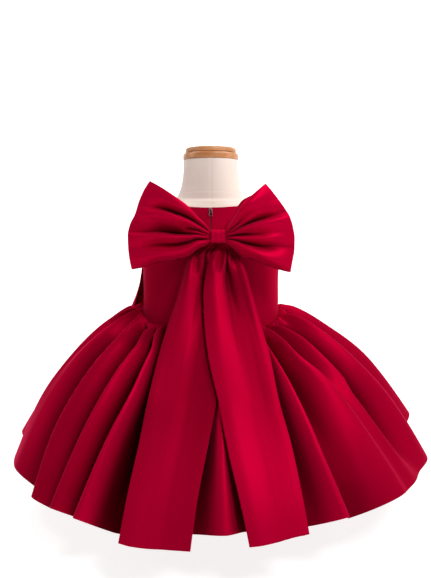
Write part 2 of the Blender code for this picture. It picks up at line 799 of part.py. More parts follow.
def box_mesh(name, across, out, up, frame, look):
    """A box given by its extents along the slider's axes."""
    points = [placed(frame, x, y, z) for z in up for y in out for x in across]
    faces = [(0, 1, 3, 2), (4, 6, 7, 5), (0, 4, 5, 1), (2, 3, 7, 6), (0, 2, 6, 4), (1, 5, 7, 3)]
    return finish_mesh(name, points, faces, look)


def cylinder_mesh(name, radius, half_width, frame):
    """A cutter: a short round bar across the slider."""
    turn = np.linspace(0, 2 * np.pi, 16, endpoint=False)
    ends = []
    for x in (-half_width, half_width):
        ends.append(
            [
                placed(
                    frame,
                    x,
                    PULL_AXIS_OFF + radius * math.cos(t),
                    -PULL_AXIS_DOWN + radius * math.sin(t),
                )
                for t in turn
            ]
        )
    rings = np.array(ends)
    obj = solid_of_rings(name, rings, ZIP_METAL)
    obj.hide_render = True
    obj.display_type = "WIRE"
    return obj


def pull_points(frame):
    """The pull's wire: a top bar through the bail, then a drop."""
    half_top, half_wide, length = 1.3, 2.6, PULL_LENGTH
    outline = [(-half_top, 0.0), (half_top, 0.0)]
    turn = np.radians(np.arange(35, -216, -25))
    centre = -(length - half_wide)
    outline += [(half_wide * math.cos(t), centre + half_wide * math.sin(t)) for t in turn]
    lean = math.radians(PULL_LEAN)
    return [
        placed(
            frame,
            x,
            PULL_AXIS_OFF + up * math.sin(lean),
            -PULL_AXIS_DOWN + up * math.cos(lean),
        )
        for x, up in outline
    ]


def skirt_panel(name, start, end, columns):
    """One panel of the skirt between two seams, from the waist seam to the hem."""
    reach = np.array([0, GATHER_START, 0.07, 0.14, 0.23, 0.34, 0.47, 0.61, 0.75, 0.88, 1.0])[:, None]
    radius = 100.0 + (HEM_RADIUS - 100.0) * reach
    seam = np.degrees(GAP / 2 / radius)
    angle = start + seam + (end - start - 2 * seam) * np.linspace(0, 1, columns)[None, :]
    reach = reach + 0 * angle
    middle = skirt_point(angle, reach)
    out = -normals(skirt_point, angle, np.clip(reach, 0.012, 0.988), 0.6, 0.012)
    cloth_wall(name, middle + out * CLOTH / 2, middle - out * CLOTH / 2, SATIN)


def make_skirt():
    """A front, and two backs seamed at the centre back."""
    skirt_panel("skirt_back_left", -90.0, 0.0, 43)
    skirt_panel("skirt_back_right", 0.0, 90.0, 43)
    skirt_panel("skirt_front", 90.0, 270.0, 81)


def make_bow():
    """Two loops, each one sheet folded back on itself, two tails, and the band that ties them."""
    for side in ("left", "right"):
        outward = np.arcsin([0, NECK_REACH, 0.14, 0.23, 0.36, 0.53, 0.72, 0.9, 1]) / np.pi
        homeward = 1 - np.arcsin([0.8, 0.45, 0.2, NECK_REACH, 0]) / np.pi
        along = np.concatenate([outward, homeward])[:, None]
        creases = LOOP_CREASES[side]["across"]
        across = np.sort(np.concatenate([creases, (creases[:-1] + creases[1:]) / 2]))[None, :]
        sheet_wall(f"bow_loop_{side}", side, loop_point, along, across, 0.01, 0.01)
        along = np.array([0, 0.03, 0.07, 0.12, 0.18, 0.26, 0.35, 0.45, 0.56, 0.67, 0.78, 0.89, 1.0])[:, None]
        creases = TAIL_CREASES[side]["across"]
        across = np.sort(np.concatenate([creases, (creases[:-1] + creases[1:]) / 2]))[None, :]
        sheet_wall(f"tail_{side}", side, tail_point, along, across, 0.004, 0.01)
    make_knot()


def sheet_wall(name, side, surface, along, across, step_along, step_across):
    """A wall round a sheet of the bow."""
    along, across = along + 0 * across, across + 0 * along
    middle = surface(side, along, across)
    out = normals(
        lambda u, v: surface(side, u, v),
        np.clip(along, step_along, 1 - step_along),
        np.clip(across, step_across - 1, 1 - step_across),
        step_along,
        step_across,
    )
    cloth_wall(name, middle + out * CLOTH / 2, middle - out * CLOTH / 2, SATIN)


def make_knot():
    """The band round the middle of the bow: a rounded tube that runs across it."""
    turn = np.radians(np.arange(0, 360, 18))[:, None]
    places = np.linspace(-0.5, 0.5, 4)[None, :] * KNOT_WIDTH
    pinch = 1 - 0.05 * np.cos(np.pi * places / KNOT_WIDTH)
    centre_y = (KNOT_FRONT + KNOT_BACK) / 2

    def band(inset):
        half_deep = (KNOT_BACK - KNOT_FRONT) / 2 - inset
        half_tall = (KNOT_TALL / 2 - inset) * pinch
        return np.stack(
            [
                KNOT_X + places + 0 * turn,
                centre_y - half_deep * power(np.cos(turn), 0.55) + 0 * places,
                KNOT_HEIGHT + half_tall * power(np.sin(turn), 0.55),
            ],
            -1,
        )

    outer = np.swapaxes(band(0.0), 0, 1)
    inner = np.swapaxes(band(CLOTH), 0, 1)
    cloth_wall("bow_knot", outer, inner, SATIN, round_it=True)


def make_drape():
    """The pleated drape beside the waist on the wearer's left front."""
    along = np.linspace(0, 1, 17)[None, :]
    down = np.linspace(0, 1, 6)[:, None]
    along, down = along + 0 * down, down + 0 * along
    middle = drape_point(along, down)
    out = normals(drape_point, np.clip(along, 0.02, 0.98), np.clip(down, 0.02, 0.98), 0.01, 0.01)
    cloth_wall("side_drape", middle + out * CLOTH / 2, middle - out * CLOTH / 2, SATIN)


def main():
    for obj in list(bpy.data.objects):
        bpy.data.objects.remove(obj)
    make_form()
    make_bodice()
    make_zip()
    make_skirt()
    make_bow()
    make_drape()


main()
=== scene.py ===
"""A toddler's party dress of crimson satin on a small limbless dress form with a wooden stand.

Lengths are in millimetres until a mesh is made, and the frame is the CAD model's: the origin under the
middle of the stand, +Z up, the back of the dress with its zip and bow towards -Y, and the wearer's left
at -X. Angles run round the body in degrees: 0 at the centre back, 90 at the wearer's right side."""

import math

import bpy
import numpy as np
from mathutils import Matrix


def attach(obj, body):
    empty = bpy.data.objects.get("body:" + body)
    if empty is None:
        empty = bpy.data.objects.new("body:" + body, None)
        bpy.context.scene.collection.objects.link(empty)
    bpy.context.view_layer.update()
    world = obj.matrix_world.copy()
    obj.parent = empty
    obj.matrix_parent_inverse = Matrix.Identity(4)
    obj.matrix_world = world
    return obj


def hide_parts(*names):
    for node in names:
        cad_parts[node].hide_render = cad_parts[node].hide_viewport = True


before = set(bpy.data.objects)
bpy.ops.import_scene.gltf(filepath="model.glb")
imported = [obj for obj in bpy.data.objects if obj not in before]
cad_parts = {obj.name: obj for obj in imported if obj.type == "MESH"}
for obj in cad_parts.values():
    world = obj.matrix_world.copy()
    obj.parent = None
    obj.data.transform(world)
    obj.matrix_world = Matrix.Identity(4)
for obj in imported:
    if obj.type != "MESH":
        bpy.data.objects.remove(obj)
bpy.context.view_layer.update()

# ------------------------------------------------------------
# The room: a pale seamless sweep under soft studio light. Three soft lights hang above, to the right, to
# the left and in front, two weak ones stand at the sides, and one lights the sweep behind the dress.

MM = 0.001
scene = bpy.context.scene
scene.view_settings.view_transform = "Standard"
scene.view_settings.look = "None"


def unit(value):
    """A value held between 0 and 1."""
    return np.clip(value, 0, 1)


def put(tree, made, inputs):
    """A node, once each of its named inputs is set to a value or joined to another node's socket."""
    for name, value in inputs.items():
        if isinstance(value, bpy.types.NodeSocket):
            tree.links.new(value, made.inputs[name])
        else:
            made.inputs[name].default_value = value
    return made


def node(tree, kind, inputs=None, **settings):
    """A new node with its settings and its inputs."""
    made = tree.nodes.new(kind)
    for name, value in settings.items():
        setattr(made, name, value)
    return put(tree, made, inputs or {})


def material(name, mapped=False):
    """A new node material, its shader, its tree and the place that its textures read: the object's own
    coordinates, or the map named cloth where it is mapped."""
    made = bpy.data.materials.new(name)
    made.use_nodes = True
    tree = made.node_tree
    if mapped:
        place = node(tree, "ShaderNodeUVMap", uv_map="cloth").outputs[0]
    else:
        place = node(tree, "ShaderNodeTexCoord").outputs["Object"]
    return made, tree.nodes["Principled BSDF"], tree, place


def noise(tree, place, scale, **more):
    """A noise texture's value at a place."""
    return node(tree, "ShaderNodeTexNoise", {"Vector": place, "Scale": scale, **more}).outputs["Fac"]


def stretched(tree, place, scale, **more):
    """A place with each of its three measures multiplied."""
    return node(tree, "ShaderNodeMapping", {"Vector": place, "Scale": scale, **more}).outputs[0]


def mixed(tree, share, first, second, **settings):
    """A colour mixed from two, by the share of the second."""
    inputs = {0: share, 6: first, 7: second}
    return node(tree, "ShaderNodeMix", inputs, data_type="RGBA", **settings).outputs[2]


def bumps(tree, height, strength, distance):
    """The normals of a fine relief."""
    inputs = {"Height": height, "Strength": strength, "Distance": distance}
    return node(tree, "ShaderNodeBump", inputs).outputs["Normal"]


def mesh_object(name, points, quads, uv=None, depth=None):
    """An object at the origin from points in millimetres and faces of four corners, shaded smooth. uv is
    one pair of metres for each point, kept as the map named cloth. depth is one share of painted shade
    for each point, 0 where none is painted and 1 deep inside a fold, kept as the attribute named depth."""
    mesh = bpy.data.meshes.new(name)
    mesh.from_pydata((points.reshape(-1, 3) * MM).tolist(), [], quads.tolist())
    if uv is not None:
        corners = np.empty(len(mesh.loops), np.int32)
        mesh.loops.foreach_get("vertex_index", corners)
        layer = mesh.uv_layers.new(name="cloth")
        layer.data.foreach_set("uv", (uv.reshape(-1, 2)[corners]).astype(np.float32).ravel())
    # The share of painted shade is kept as the attribute named depth.
    if depth is not None:
        layer = mesh.attributes.new("depth", "FLOAT", "POINT")
        layer.data.foreach_set("value", unit(depth).astype(np.float32).ravel())
    mesh.shade_smooth()
    obj = bpy.data.objects.new(name, mesh)
    scene.collection.objects.link(obj)
    return obj


def grid_quads(rows, columns, round_it=False, ring=False):
    """Faces of a grid of points, row after row. round_it joins the last column to the first, and ring
    joins the last row to the first."""
    index = np.arange(rows * columns).reshape(rows, columns)
    if ring:
        index = np.concatenate([index, index[:1]])
    if round_it:
        index = np.concatenate([index, index[:, :1]], axis=1)
    return np.stack([index[:-1, :-1], index[:-1, 1:], index[1:, 1:], index[1:, :-1]], -1).reshape(-1, 4)


SWEEP_HALF_WIDTH = 4000
FLOOR_FRONT = -2400
FLOOR_LENGTH = 4000
BEND_LENGTH = 1600
BEND_RADIUS = 1000
WALL_LENGTH = 1400
across, back = np.meshgrid(np.linspace(-SWEEP_HALF_WIDTH, SWEEP_HALF_WIDTH, 41), np.linspace(0, 1, 61))
run = back * (FLOOR_LENGTH + BEND_LENGTH + WALL_LENGTH)
bend = unit((run - FLOOR_LENGTH) / BEND_LENGTH) * np.pi / 2
floor_y = FLOOR_FRONT + np.where(run < FLOOR_LENGTH, run, FLOOR_LENGTH + BEND_RADIUS * np.sin(bend))
wall_height = np.clip(run - (FLOOR_LENGTH + BEND_LENGTH), 0, None)
floor_z = np.where(run < FLOOR_LENGTH, 0, BEND_RADIUS * (1 - np.cos(bend)) + wall_height)
floor = mesh_object("floor", np.stack([across, floor_y, floor_z], -1), grid_quads(61, 41))
paper, shader, tree, place = material("paper")
put(tree, shader, {
    "Base Color": mixed(tree, noise(tree, place, 400.0), (0.40, 0.40, 0.40, 1), (0.43, 0.43, 0.43, 1)),
    "Roughness": 0.9,
    "Specular IOR Level": 0.1,
    "Emission Color": (1.0, 1.0, 1.0, 1),
    "Emission Strength": 0.85,
})
floor.data.materials.append(paper)


def soft_light(name, at, watts, aim=(0, 0, 0.25), size=(0.5, 0.5), colour=(1.0, 0.99, 0.98)):
    """An area light at a place, turned towards another, both in metres."""
    lamp = bpy.data.lights.new(name, "AREA")
    lamp.shape = "RECTANGLE"
    lamp.size, lamp.size_y = size
    lamp.energy = watts
    lamp.color = colour
    obj = bpy.data.objects.new(name, lamp)
    obj.location = at
    towards = np.array(aim) - np.array(at)
    turn = math.atan2(towards[0], -towards[1])
    tilt = math.atan2(math.hypot(towards[0], towards[1]), -towards[2])
    obj.rotation_euler = (tilt, 0, turn + math.pi)
    scene.collection.objects.link(obj)


soft_light("upper_right", (1.1, -0.1, 1.8), 16)
soft_light("upper_left", (-1.1, 0.1, 1.8), 9)
soft_light("upper_front", (0.7, -1.1, 1.6), 20)
soft_light("right", (1.9, -0.3, 0.9), 3, colour=(1.0, 0.985, 0.97))
soft_light("left", (-1.9, -0.1, 1.0), 5)
soft_light("backdrop", (0.0, 0.9, 2.3), 75, aim=(0, 3.0, 0.7), size=(2.4, 0.6), colour=(1.0, 1.0, 1.0))
world = bpy.data.worlds.new("studio")
world.use_nodes = True
put(world.node_tree, world.node_tree.nodes["Background"], {"Color": (1, 1, 1, 1), "Strength": 0.05})
scene.world = world

SENSOR = 36.0
PICTURE_PIXELS = 578
FOCAL_PIXELS = 580
SHIFT_PIXELS = 4.8
CAMERA_BEHIND = 0.865
CAMERA_HEIGHT = 0.398
CAMERA_DOWN = 6.7
lens = bpy.data.cameras.new("camera")
lens.sensor_fit = "AUTO"
lens.sensor_width = SENSOR
lens.lens = SENSOR * FOCAL_PIXELS / PICTURE_PIXELS
lens.shift_x = SHIFT_PIXELS / PICTURE_PIXELS
camera = bpy.data.objects.new("camera", lens)
camera.location = (0.0, -CAMERA_BEHIND, CAMERA_HEIGHT)
camera.rotation_euler = (math.radians(90 - CAMERA_DOWN), 0, 0)
scene.collection.objects.link(camera)
scene.camera = camera

# ------------------------------------------------------------
# The form: a hollow child's torso in a stretched cover of cream cotton jersey. The cover is cut in
# panels, with a seam down the centre back and front and one round the foot of the neck.


def table(columns, rows):
    """A short table as arrays, one for each named column."""
    values = np.array(rows, float)
    return {name: values[:, i] for i, name in enumerate(columns.split())}


def tangents(step, slope):
    """The slopes of a smooth curve at its points, with no overshoot: each is the weighted harmonic mean
    of the slopes on its two sides, or 0 where those differ in sign."""
    found = [slope[0]]
    for k in range(1, len(slope)):
        before, after = 2 * step[k] + step[k - 1], step[k] + 2 * step[k - 1]
        same = slope[k - 1] * slope[k] > 1e-12
        blend = before / np.where(same, slope[k - 1], 1.0) + after / np.where(same, slope[k], 1.0)
        found.append(np.where(same, (before + after) / np.where(same, blend, 1.0), 0.0))
    return [*found, slope[-1]]


def follow(places, values, at):
    """The smooth curve through (places, values), read at any places: a cubic between each pair."""
    places, values = np.asarray(places, float), np.asarray(values, float)
    step = np.diff(places)
    tangent = np.array(tangents(step, np.diff(values) / step))
    at = np.clip(at, places[0], places[-1])
    k = np.clip(np.searchsorted(places, at, side="right") - 1, 0, len(step) - 1)
    t = (at - places[k]) / step[k]
    return (
        values[k] * (1 + 2 * t) * (1 - t) ** 2
        + tangent[k] * step[k] * t * (1 - t) ** 2
        + values[k + 1] * t**2 * (3 - 2 * t)
        + tangent[k + 1] * step[k] * t**2 * (t - 1)
    )


def power(value, exponent):
    """A signed power, for a rounded outline."""
    return np.sign(value) * np.abs(value) ** exponent


TORSO = table("height half_width half_depth forward squareness", [
    (152, 88, 70, 0, 2.2), (156, 97, 78, 0, 2.2), (168, 102, 83, 0, 2.2), (195, 103, 84, 0, 2.2),
    (230, 100, 81, 0, 2.2), (262, 98, 78.5, 0, 2.2), (300, 97.6, 77, 1, 2.2), (335, 98.5, 76, 2, 2.2),
    (362, 101, 72, 3, 2.2), (385, 104, 65, 3, 2.2), (400, 104.5, 58, 3, 2.2), (409, 100, 53, 3, 2.2),
    (415, 89, 49.5, 3, 2.1), (420, 76, 47, 3, 2.1), (425, 62, 45, 3, 2), (430, 52, 43.5, 4, 2),
    (438, 47.2, 42.5, 4, 2), (450, 43, 41, 4, 2), (466, 40.6, 40, 4, 2), (486, 39.6, 39.6, 4, 2),
])


def torso_point(angle, height):
    """The form's surface: at each height a rounded outline whose half width, half depth and middle
    follow the table, x as a power of the sine of the angle and y as one of its cosine."""
    exponent = 2 / follow(TORSO["height"], TORSO["squareness"], height)
    turn = np.radians(angle)
    x = follow(TORSO["height"], TORSO["half_width"], height) * power(np.sin(turn), exponent)
    y = -follow(TORSO["height"], TORSO["half_depth"], height) * power(np.cos(turn), exponent)
    return np.stack([x, y + follow(TORSO["height"], TORSO["forward"], height), height + 0 * turn], -1)


def over_form(angle, height, off):
    """A point that distance off the form, along the cross product of its slopes round and up."""
    round_it = torso_point(angle + 0.5, height) - torso_point(angle - 0.5, height)
    up = torso_point(angle, height + 0.5) - torso_point(angle, height - 0.5)
    out = np.cross(round_it, up)
    out /= np.linalg.norm(out, axis=-1, keepdims=True)
    return torso_point(angle, height) + out * np.asarray(off)[..., None]


def ridge(distance, width):
    """A smooth bump of height 1, that wide, by the distance from its middle."""
    return np.exp(-((distance / width) ** 2))


def angle_between(angle, other):
    """How far one angle is from another, in degrees, between -180 and 180."""
    return (angle - other + 180) % 360 - 180


def settle(piece, surface, replaced=None, body="dress"):
    """Gives a piece its surface and its body, and hides the CAD node it stands for, where it has one."""
    piece.data.materials.append(surface)
    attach(piece, body)
    if replaced:
        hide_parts(replaced)
    return piece


SEAM_DEPTH = 0.25
SEAM_WIDTH = 0.9
NECK_SEAM_HEIGHT = 437
angle, height = np.meshgrid(
    np.arange(0, 360, 2.0),
    np.concatenate([np.linspace(152, 400, 70), np.linspace(401, 440, 60), np.linspace(442, 486, 40)]),
)
girth = np.radians(1.0) * np.linalg.norm(torso_point(angle, height)[..., :2], axis=-1)
seams = sum(ridge(angle_between(angle, at) * girth, SEAM_WIDTH) for at in (0, 180))
seams = seams + 0.6 * ridge(height - NECK_SEAM_HEIGHT - 3 * np.cos(np.radians(angle)), 1.2)
cover = over_form(angle, height, -SEAM_DEPTH * seams)
rings = np.concatenate([cover[:1] * [0.02, 0.02, 1], cover, cover[-1:] * [0.02, 0.1, 1]])
form_cover = mesh_object("form_cover", rings[::-1], grid_quads(len(rings), 180, round_it=True))
jersey, shader, tree, place = material("cotton_jersey")
rib = noise(tree, stretched(tree, place, (1500.0, 1500.0, 260.0)), 1.0)
fuzz = noise(tree, place, 1700.0)
relief = node(tree, "ShaderNodeMath", {0: rib, 1: fuzz}, operation="ADD").outputs[0]
put(tree, shader, {
    "Base Color": mixed(tree, noise(tree, place, 14.0), (0.79, 0.67, 0.60, 1), (0.85, 0.73, 0.65, 1)),
    "Normal": bumps(tree, relief, 0.12, 0.0003),
    "Roughness": 0.88,
    "Sheen Weight": 0.15,
})
settle(form_cover, jersey, "form_torso")

# ------------------------------------------------------------
# The wooden parts: two turned discs on the neck, the pole and the round base, all of beech, rubbed
# smooth and varnished a warm brown. The discs have a small shadow gap between them.

GAP = 0.3


def turned(name, profile, centre, sides=96):
    """A turned piece: each pair of neighbours in the profile of (radius, height) rows is joined by a
    short straight run, and the whole is carried round an upright line and closed at both ends."""
    radius = np.array([0.02] + [r for r, _ in profile] + [0.02])[:, None]
    level = np.array([profile[0][1]] + [h for _, h in profile] + [profile[-1][1]])[:, None]
    turn = np.linspace(0, 2 * np.pi, sides, endpoint=False)
    points = np.stack(
        [centre[0] + radius * np.sin(turn), centre[1] - radius * np.cos(turn), level + 0 * turn], -1
    )
    return mesh_object(name, points[::-1], grid_quads(len(points), sides, round_it=True))


def rounded_disc(radius, low, high, lower_edge, upper_edge, steps=7):
    """The profile of a disc with quarter circles for its lower and upper edges and a slight crown."""
    turn = np.linspace(0, np.pi / 2, steps)
    below = [(radius - lower_edge * (1 - math.sin(t)), low + lower_edge * (1 - math.cos(t))) for t in turn]
    above = [(radius - upper_edge * (1 - math.cos(t)), high - upper_edge * (1 - math.sin(t))) for t in turn]
    crown = [(radius * 0.7, high + CROWN / 2), (radius * 0.3, high + CROWN)]
    return [(radius * 0.5, low), *below, *above, *crown]


CROWN = 0.3
PLATE_HEIGHT = 9.6
CAP_HEIGHT = 7.1
neck, middle = (0.0, 4.0), (0.0, 0.0)
plate_low = 486 + GAP
cap_low = plate_low + PLATE_HEIGHT + GAP
neck_plate = turned("neck_plate", rounded_disc(40.4, plate_low, cap_low - GAP - CROWN, 1.0, 2.6), neck)
neck_cap = turned("neck_cap", rounded_disc(37.0, cap_low, cap_low + CAP_HEIGHT, 1.0, 3.0), neck)
stand_base = turned("stand_base", rounded_disc(112.0, 0.0, 14.7, 1.0, 4.5), middle)
pole_profile = [(10.6, 15.3), (11, 15.8), (11, 60), (11, 151.2), (10.6, 151.7)]
stand_pole = turned("stand_pole", pole_profile, middle, 48)


def ramp(tree, value, low, dark, high, light):
    """The colour for a value: dark up to low, light from high, and an even run between them."""
    made = node(tree, "ShaderNodeValToRGB", {"Fac": value})
    for stop, place, colour in zip(made.color_ramp.elements, (low, high), (dark, light)):
        stop.position, stop.color = place, colour
    return made.outputs[0]


beech, shader, tree, place = material("varnished_beech")
figure = noise(tree, stretched(tree, place, (6.0, 70.0, 70.0), Rotation=(0, 0, 0.35)), 1.6, Detail=6.0)
fleck = noise(tree, stretched(tree, place, (250.0, 1100.0, 1100.0)), 1.0)
shades = ramp(tree, figure, 0.32, (0.46, 0.17, 0.055, 1), 0.68, (0.66, 0.31, 0.13, 1))
flecks = ramp(tree, fleck, 0.30, (0.72, 0.72, 0.72, 1), 0.46, (1, 1, 1, 1))
put(tree, shader, {
    "Base Color": mixed(tree, 1.0, shades, flecks, blend_type="MULTIPLY"),
    "Normal": bumps(tree, fleck, 0.15, 0.0002),
    "Roughness": 0.42,
    "Coat Weight": 0.3,
    "Coat Roughness": 0.25,
})
settle(neck_plate, beech, "form_neck_plate")
settle(neck_cap, beech, "form_neck_cap")
settle(stand_base, beech, "form_base")
settle(stand_pole, beech, "form_pole")

# ------------------------------------------------------------
# The cloth: duchess satin, a stiff polyester of fine warp floats that reflects broadly and goes pink
# where it catches the light. Every piece is a thin closed wall whose edges are turned round.

CLOTH = 1.2
crimson, shader, tree, place = material("crimson_satin", mapped=True)
floats = noise(tree, stretched(tree, place, (3600.0, 160.0, 1.0)), 1.0)
slubs = noise(tree, stretched(tree, place, (60.0, 9.0, 1.0)), 1.0, Detail=3.0)
# Painted shade: the colour is mixed towards a near black red by each piece's attribute named depth, which
# holds the share of painted shade at each place.
painted_shade_amount = node(tree, "ShaderNodeAttribute", attribute_name="depth").outputs["Fac"]
open_cloth = mixed(tree, slubs, (0.42, 0.0, 0.024, 1), (0.48, 0.0, 0.030, 1))
put(tree, shader, {
    "Base Color": mixed(tree, painted_shade_amount, open_cloth, (0.035, 0.0, 0.0005, 1)),
    "Normal": bumps(tree, floats, 0.10, 0.00008),
    "Tangent": node(tree, "ShaderNodeTangent", direction_type="UV_MAP", uv_map="cloth").outputs[0],
    "Roughness": 0.50,
    "Metallic": 0.30,
    "Anisotropic": 0.3,
    "IOR": 1.02,
    "Specular Tint": (1.0, 0.10, 0.38, 1),
    "Sheen Weight": 0.45,
    "Sheen Roughness": 0.35,
    "Sheen Tint": (1.0, 0.05, 0.18, 1),
})
EDGE_STEPS = np.array([0, 0.12, 0.3, 0.6, 1.1])


def spread(start, stop, count, length):
    """Places from start to stop: evenly spaced, with a few more just inside each end, where the cloth
    turns round its edge. length is the real distance between them."""
    lip = EDGE_STEPS * CLOTH / 2 / length
    even = np.linspace(0, 1, count)[1:-1]
    return start + (stop - start) * np.concatenate([lip, even, 1 - lip[::-1]])


def run_along(points, axis):
    """The distance from the first point along an axis of the grid, added up step by step."""
    steps = np.linalg.norm(np.diff(points, axis=axis), axis=-1)
    return np.concatenate([np.zeros_like(np.take(steps, [0], axis)), np.cumsum(steps, axis)], axis)


def cloth(name, middle, uv, thickness=CLOTH, round_it=False, depth=None):
    """A closed wall about a grid of points. Each point is moved out and in by half the thickness along
    the cross product of the grid's two slopes. Near an edge that half follows a half circle, so the edge
    is round, and a strip joins the two faces. round_it joins the last column to the first."""
    if round_it:
        wrapped = np.concatenate([middle[:, -1:], middle, middle[:, :1]], axis=1)
        slope_across = np.gradient(wrapped, axis=1)[:, 1:-1]
    else:
        slope_across = np.gradient(middle, axis=1)
    out = np.cross(slope_across, np.gradient(middle, axis=0))
    out /= np.maximum(np.linalg.norm(out, axis=-1, keepdims=True), 1e-12)
    down = run_along(middle, 0)
    to_edge = np.minimum(down, down[-1:] - down)
    if not round_it:
        over = run_along(middle, 1)
        to_edge = np.minimum(to_edge, np.minimum(over, over[:, -1:] - over))
    share = unit(to_edge / (thickness / 2))
    half = thickness / 2 * np.maximum(np.sqrt(1 - (1 - share) ** 2), 0.12)[..., None]
    rows, columns = middle.shape[:2]
    index = np.arange(rows * columns).reshape(rows, columns)
    if round_it:
        closed = np.concatenate([index, index[:, :1]], axis=1)
        loops = [closed[0], closed[-1][::-1]]
    else:
        loops = [np.concatenate([index[0], index[1:, -1], index[-1, -2::-1], index[-2::-1, 0]])]
    faces = grid_quads(rows, columns, round_it)
    count = rows * columns
    rims = [np.stack([loop[1:], loop[:-1], loop[:-1] + count, loop[1:] + count], -1) for loop in loops]
    quads = np.concatenate([faces, faces[:, ::-1] + count, *rims])
    points = np.concatenate([(middle + out * half).reshape(-1, 3), (middle - out * half).reshape(-1, 3)])
    uv = np.concatenate([uv.reshape(-1, 2), uv.reshape(-1, 2)])
    # depth is the share of painted shade, the same on both faces, and none where it isn't given.
    if depth is None:
        depth = np.zeros((rows, columns))
    return mesh_object(name, points, quads, uv, np.concatenate([depth, depth]))


def flat_uv(middle):
    """The map of a flat piece, in metres: the distances along the grid's two directions, each measured
    on its middle line."""
    rows, columns = middle.shape[:2]
    over = run_along(middle, 1)[rows // 2]
    down = run_along(middle, 0)[:, columns // 2]
    return np.stack(np.broadcast_arrays(over[None, :], down[:, None]), -1) * MM


def uneven(u, v, seed, size):
    """A gentle unevenness between about -1 and 1: the sum of six sine waves whose directions, lengths
    (about size) and phases come from a seeded draw."""
    draw = np.random.default_rng(seed)
    total = np.zeros(np.broadcast(u, v).shape)
    for _ in range(6):
        turn, phase = draw.uniform(0, np.pi), draw.uniform(0, 2 * np.pi)
        length = size * draw.uniform(0.6, 1.7)
        total += np.sin(2 * np.pi * (u * np.cos(turn) + v * np.sin(turn)) / length + phase)
    return total / 3.5


def painted_fold_shade(rise, crest, trough):
    """How much painted shade a place gets in a fold, by its rise: 0 at the crest's, 1 at the trough's,
    and between them a smooth step."""
    share = unit((crest - rise) / (crest - trough))
    return share**2 * (3 - 2 * share)


# ------------------------------------------------------------
# The bodice: a front and two backs of backed satin, cut close to the body, seamed at the sides and
# open down the back for the zip. Its lower edge dips to a point behind and before.

BODICE_OFF_FORM = 1.2
CAD_CLOTH = 1.6
UNDERARM_HEIGHT = 340.0
SHOULDER_TIP_HEIGHT = 407.0
WAIST_SIDE = 270.0
WAIST_DIP = 23.0
BESIDE_ZIP = 0.28
PANEL_LINES = (30, 46, 14)
ARMHOLE_BITE = 27.0
SEAM_GAP = 0.03
# Painted shade on the bodice's backs, and how much of it is taken off low down at the wearer's right side.
BACK_PAINTED_SHADE = 0.42
RIGHT_SIDE_LESS_PAINTED_SHADE = 0.30


def waist_height(angle):
    """The waist seam's height: it falls towards the centre back and front by a power of the cosine."""
    facing = np.hypot(np.cos(np.radians(angle)), 0.12) - 0.12
    return WAIST_SIDE - WAIST_DIP * (1 - (1 - facing) ** 2.5)


def neckline_height(angle):
    """A wide boat neck: nearly straight across, and up to the shoulder by the sine squared."""
    turn = np.radians(angle)
    low = np.where(np.cos(turn) > 0, 415.6, 410.5)
    return low + (425.2 - low) * np.sin(turn) ** 2


def bodice_panel(name, replaced, start, end, start_is_side, end_is_side, columns):
    """One panel between two angles. Its rows go from the waist (share 0) to the underarm (1), up the
    armhole (2) and over the shoulder (3), and the armhole takes a half sine out of each row at the side
    line. The back carries painted shade, a little darker than the front, and less so low down at the
    wearer's right side."""
    below, beside, above = PANEL_LINES
    share = np.concatenate(
        [
            spread(0, 1, below, 80)[:-5],
            1 + (0.5 - 0.5 * np.cos(np.pi * np.linspace(0, 1, beside)))[:-1],
            3 - spread(0, 1, above, 22)[::-1][5:],
        ]
    )
    share = np.unique(np.clip(np.concatenate([share, 3 - EDGE_STEPS * 0.04]), 0, 3))[:, None]
    spot = spread(0, 1, columns, 150)[None, :]
    bite = ARMHOLE_BITE * np.sin(np.pi * unit(share - 1))
    first = start + SEAM_GAP + bite * start_is_side
    last = end - SEAM_GAP - bite * end_is_side
    angle = first + (last - first) * spot
    waist, top = waist_height(angle), neckline_height(angle)
    low = waist + (UNDERARM_HEIGHT - waist) * unit(share)
    middle = UNDERARM_HEIGHT + (SHOULDER_TIP_HEIGHT - UNDERARM_HEIGHT) * (
        0.5 - 0.5 * np.cos(np.pi * unit(share - 1))
    )
    high = SHOULDER_TIP_HEIGHT + (top - SHOULDER_TIP_HEIGHT) * unit(share - 2)
    height = np.where(share <= 1, low, np.where(share <= 2, middle, high))
    ease = 0.35 * uneven(angle * 1.7, height, len(name), 60) * unit((height - waist) / 12)
    lift = 0.5 * ridge(height - waist - 1.0, 1.6)
    wall = over_form(angle, height, BODICE_OFF_FORM + CAD_CLOTH / 2 + 0.15 + ease + lift)
    # Painted shade, as under the bow: full on the backs, less low down at the wearer's right side, fading
    # out on the front.
    painted_shade_eased = unit((angle - 20) / 50) * unit((UNDERARM_HEIGHT + 25 - height) / 40)
    painted_shade = (BACK_PAINTED_SHADE - RIGHT_SIDE_LESS_PAINTED_SHADE * painted_shade_eased) * unit((100 - np.abs(angle)) / 20)
    return settle(cloth(name, wall, flat_uv(wall), depth=painted_shade), crimson, replaced)


back_left = bodice_panel("back_left", "bodice_back_left", -90.0, -BESIDE_ZIP, 1, 0, 80)
back_right = bodice_panel("back_right", "bodice_back_right", BESIDE_ZIP, 90.0, 0, 1, 80)
front = bodice_panel("front", "bodice_front", 90.0, 270.0, 1, 1, 150)

# ------------------------------------------------------------
# The skirt: one front and two backs, cut as wide rectangles, gathered by their top edges and sewn to
# the bodice. The stiff satin stands away from the waist in a bell and falls in deep soft folds.

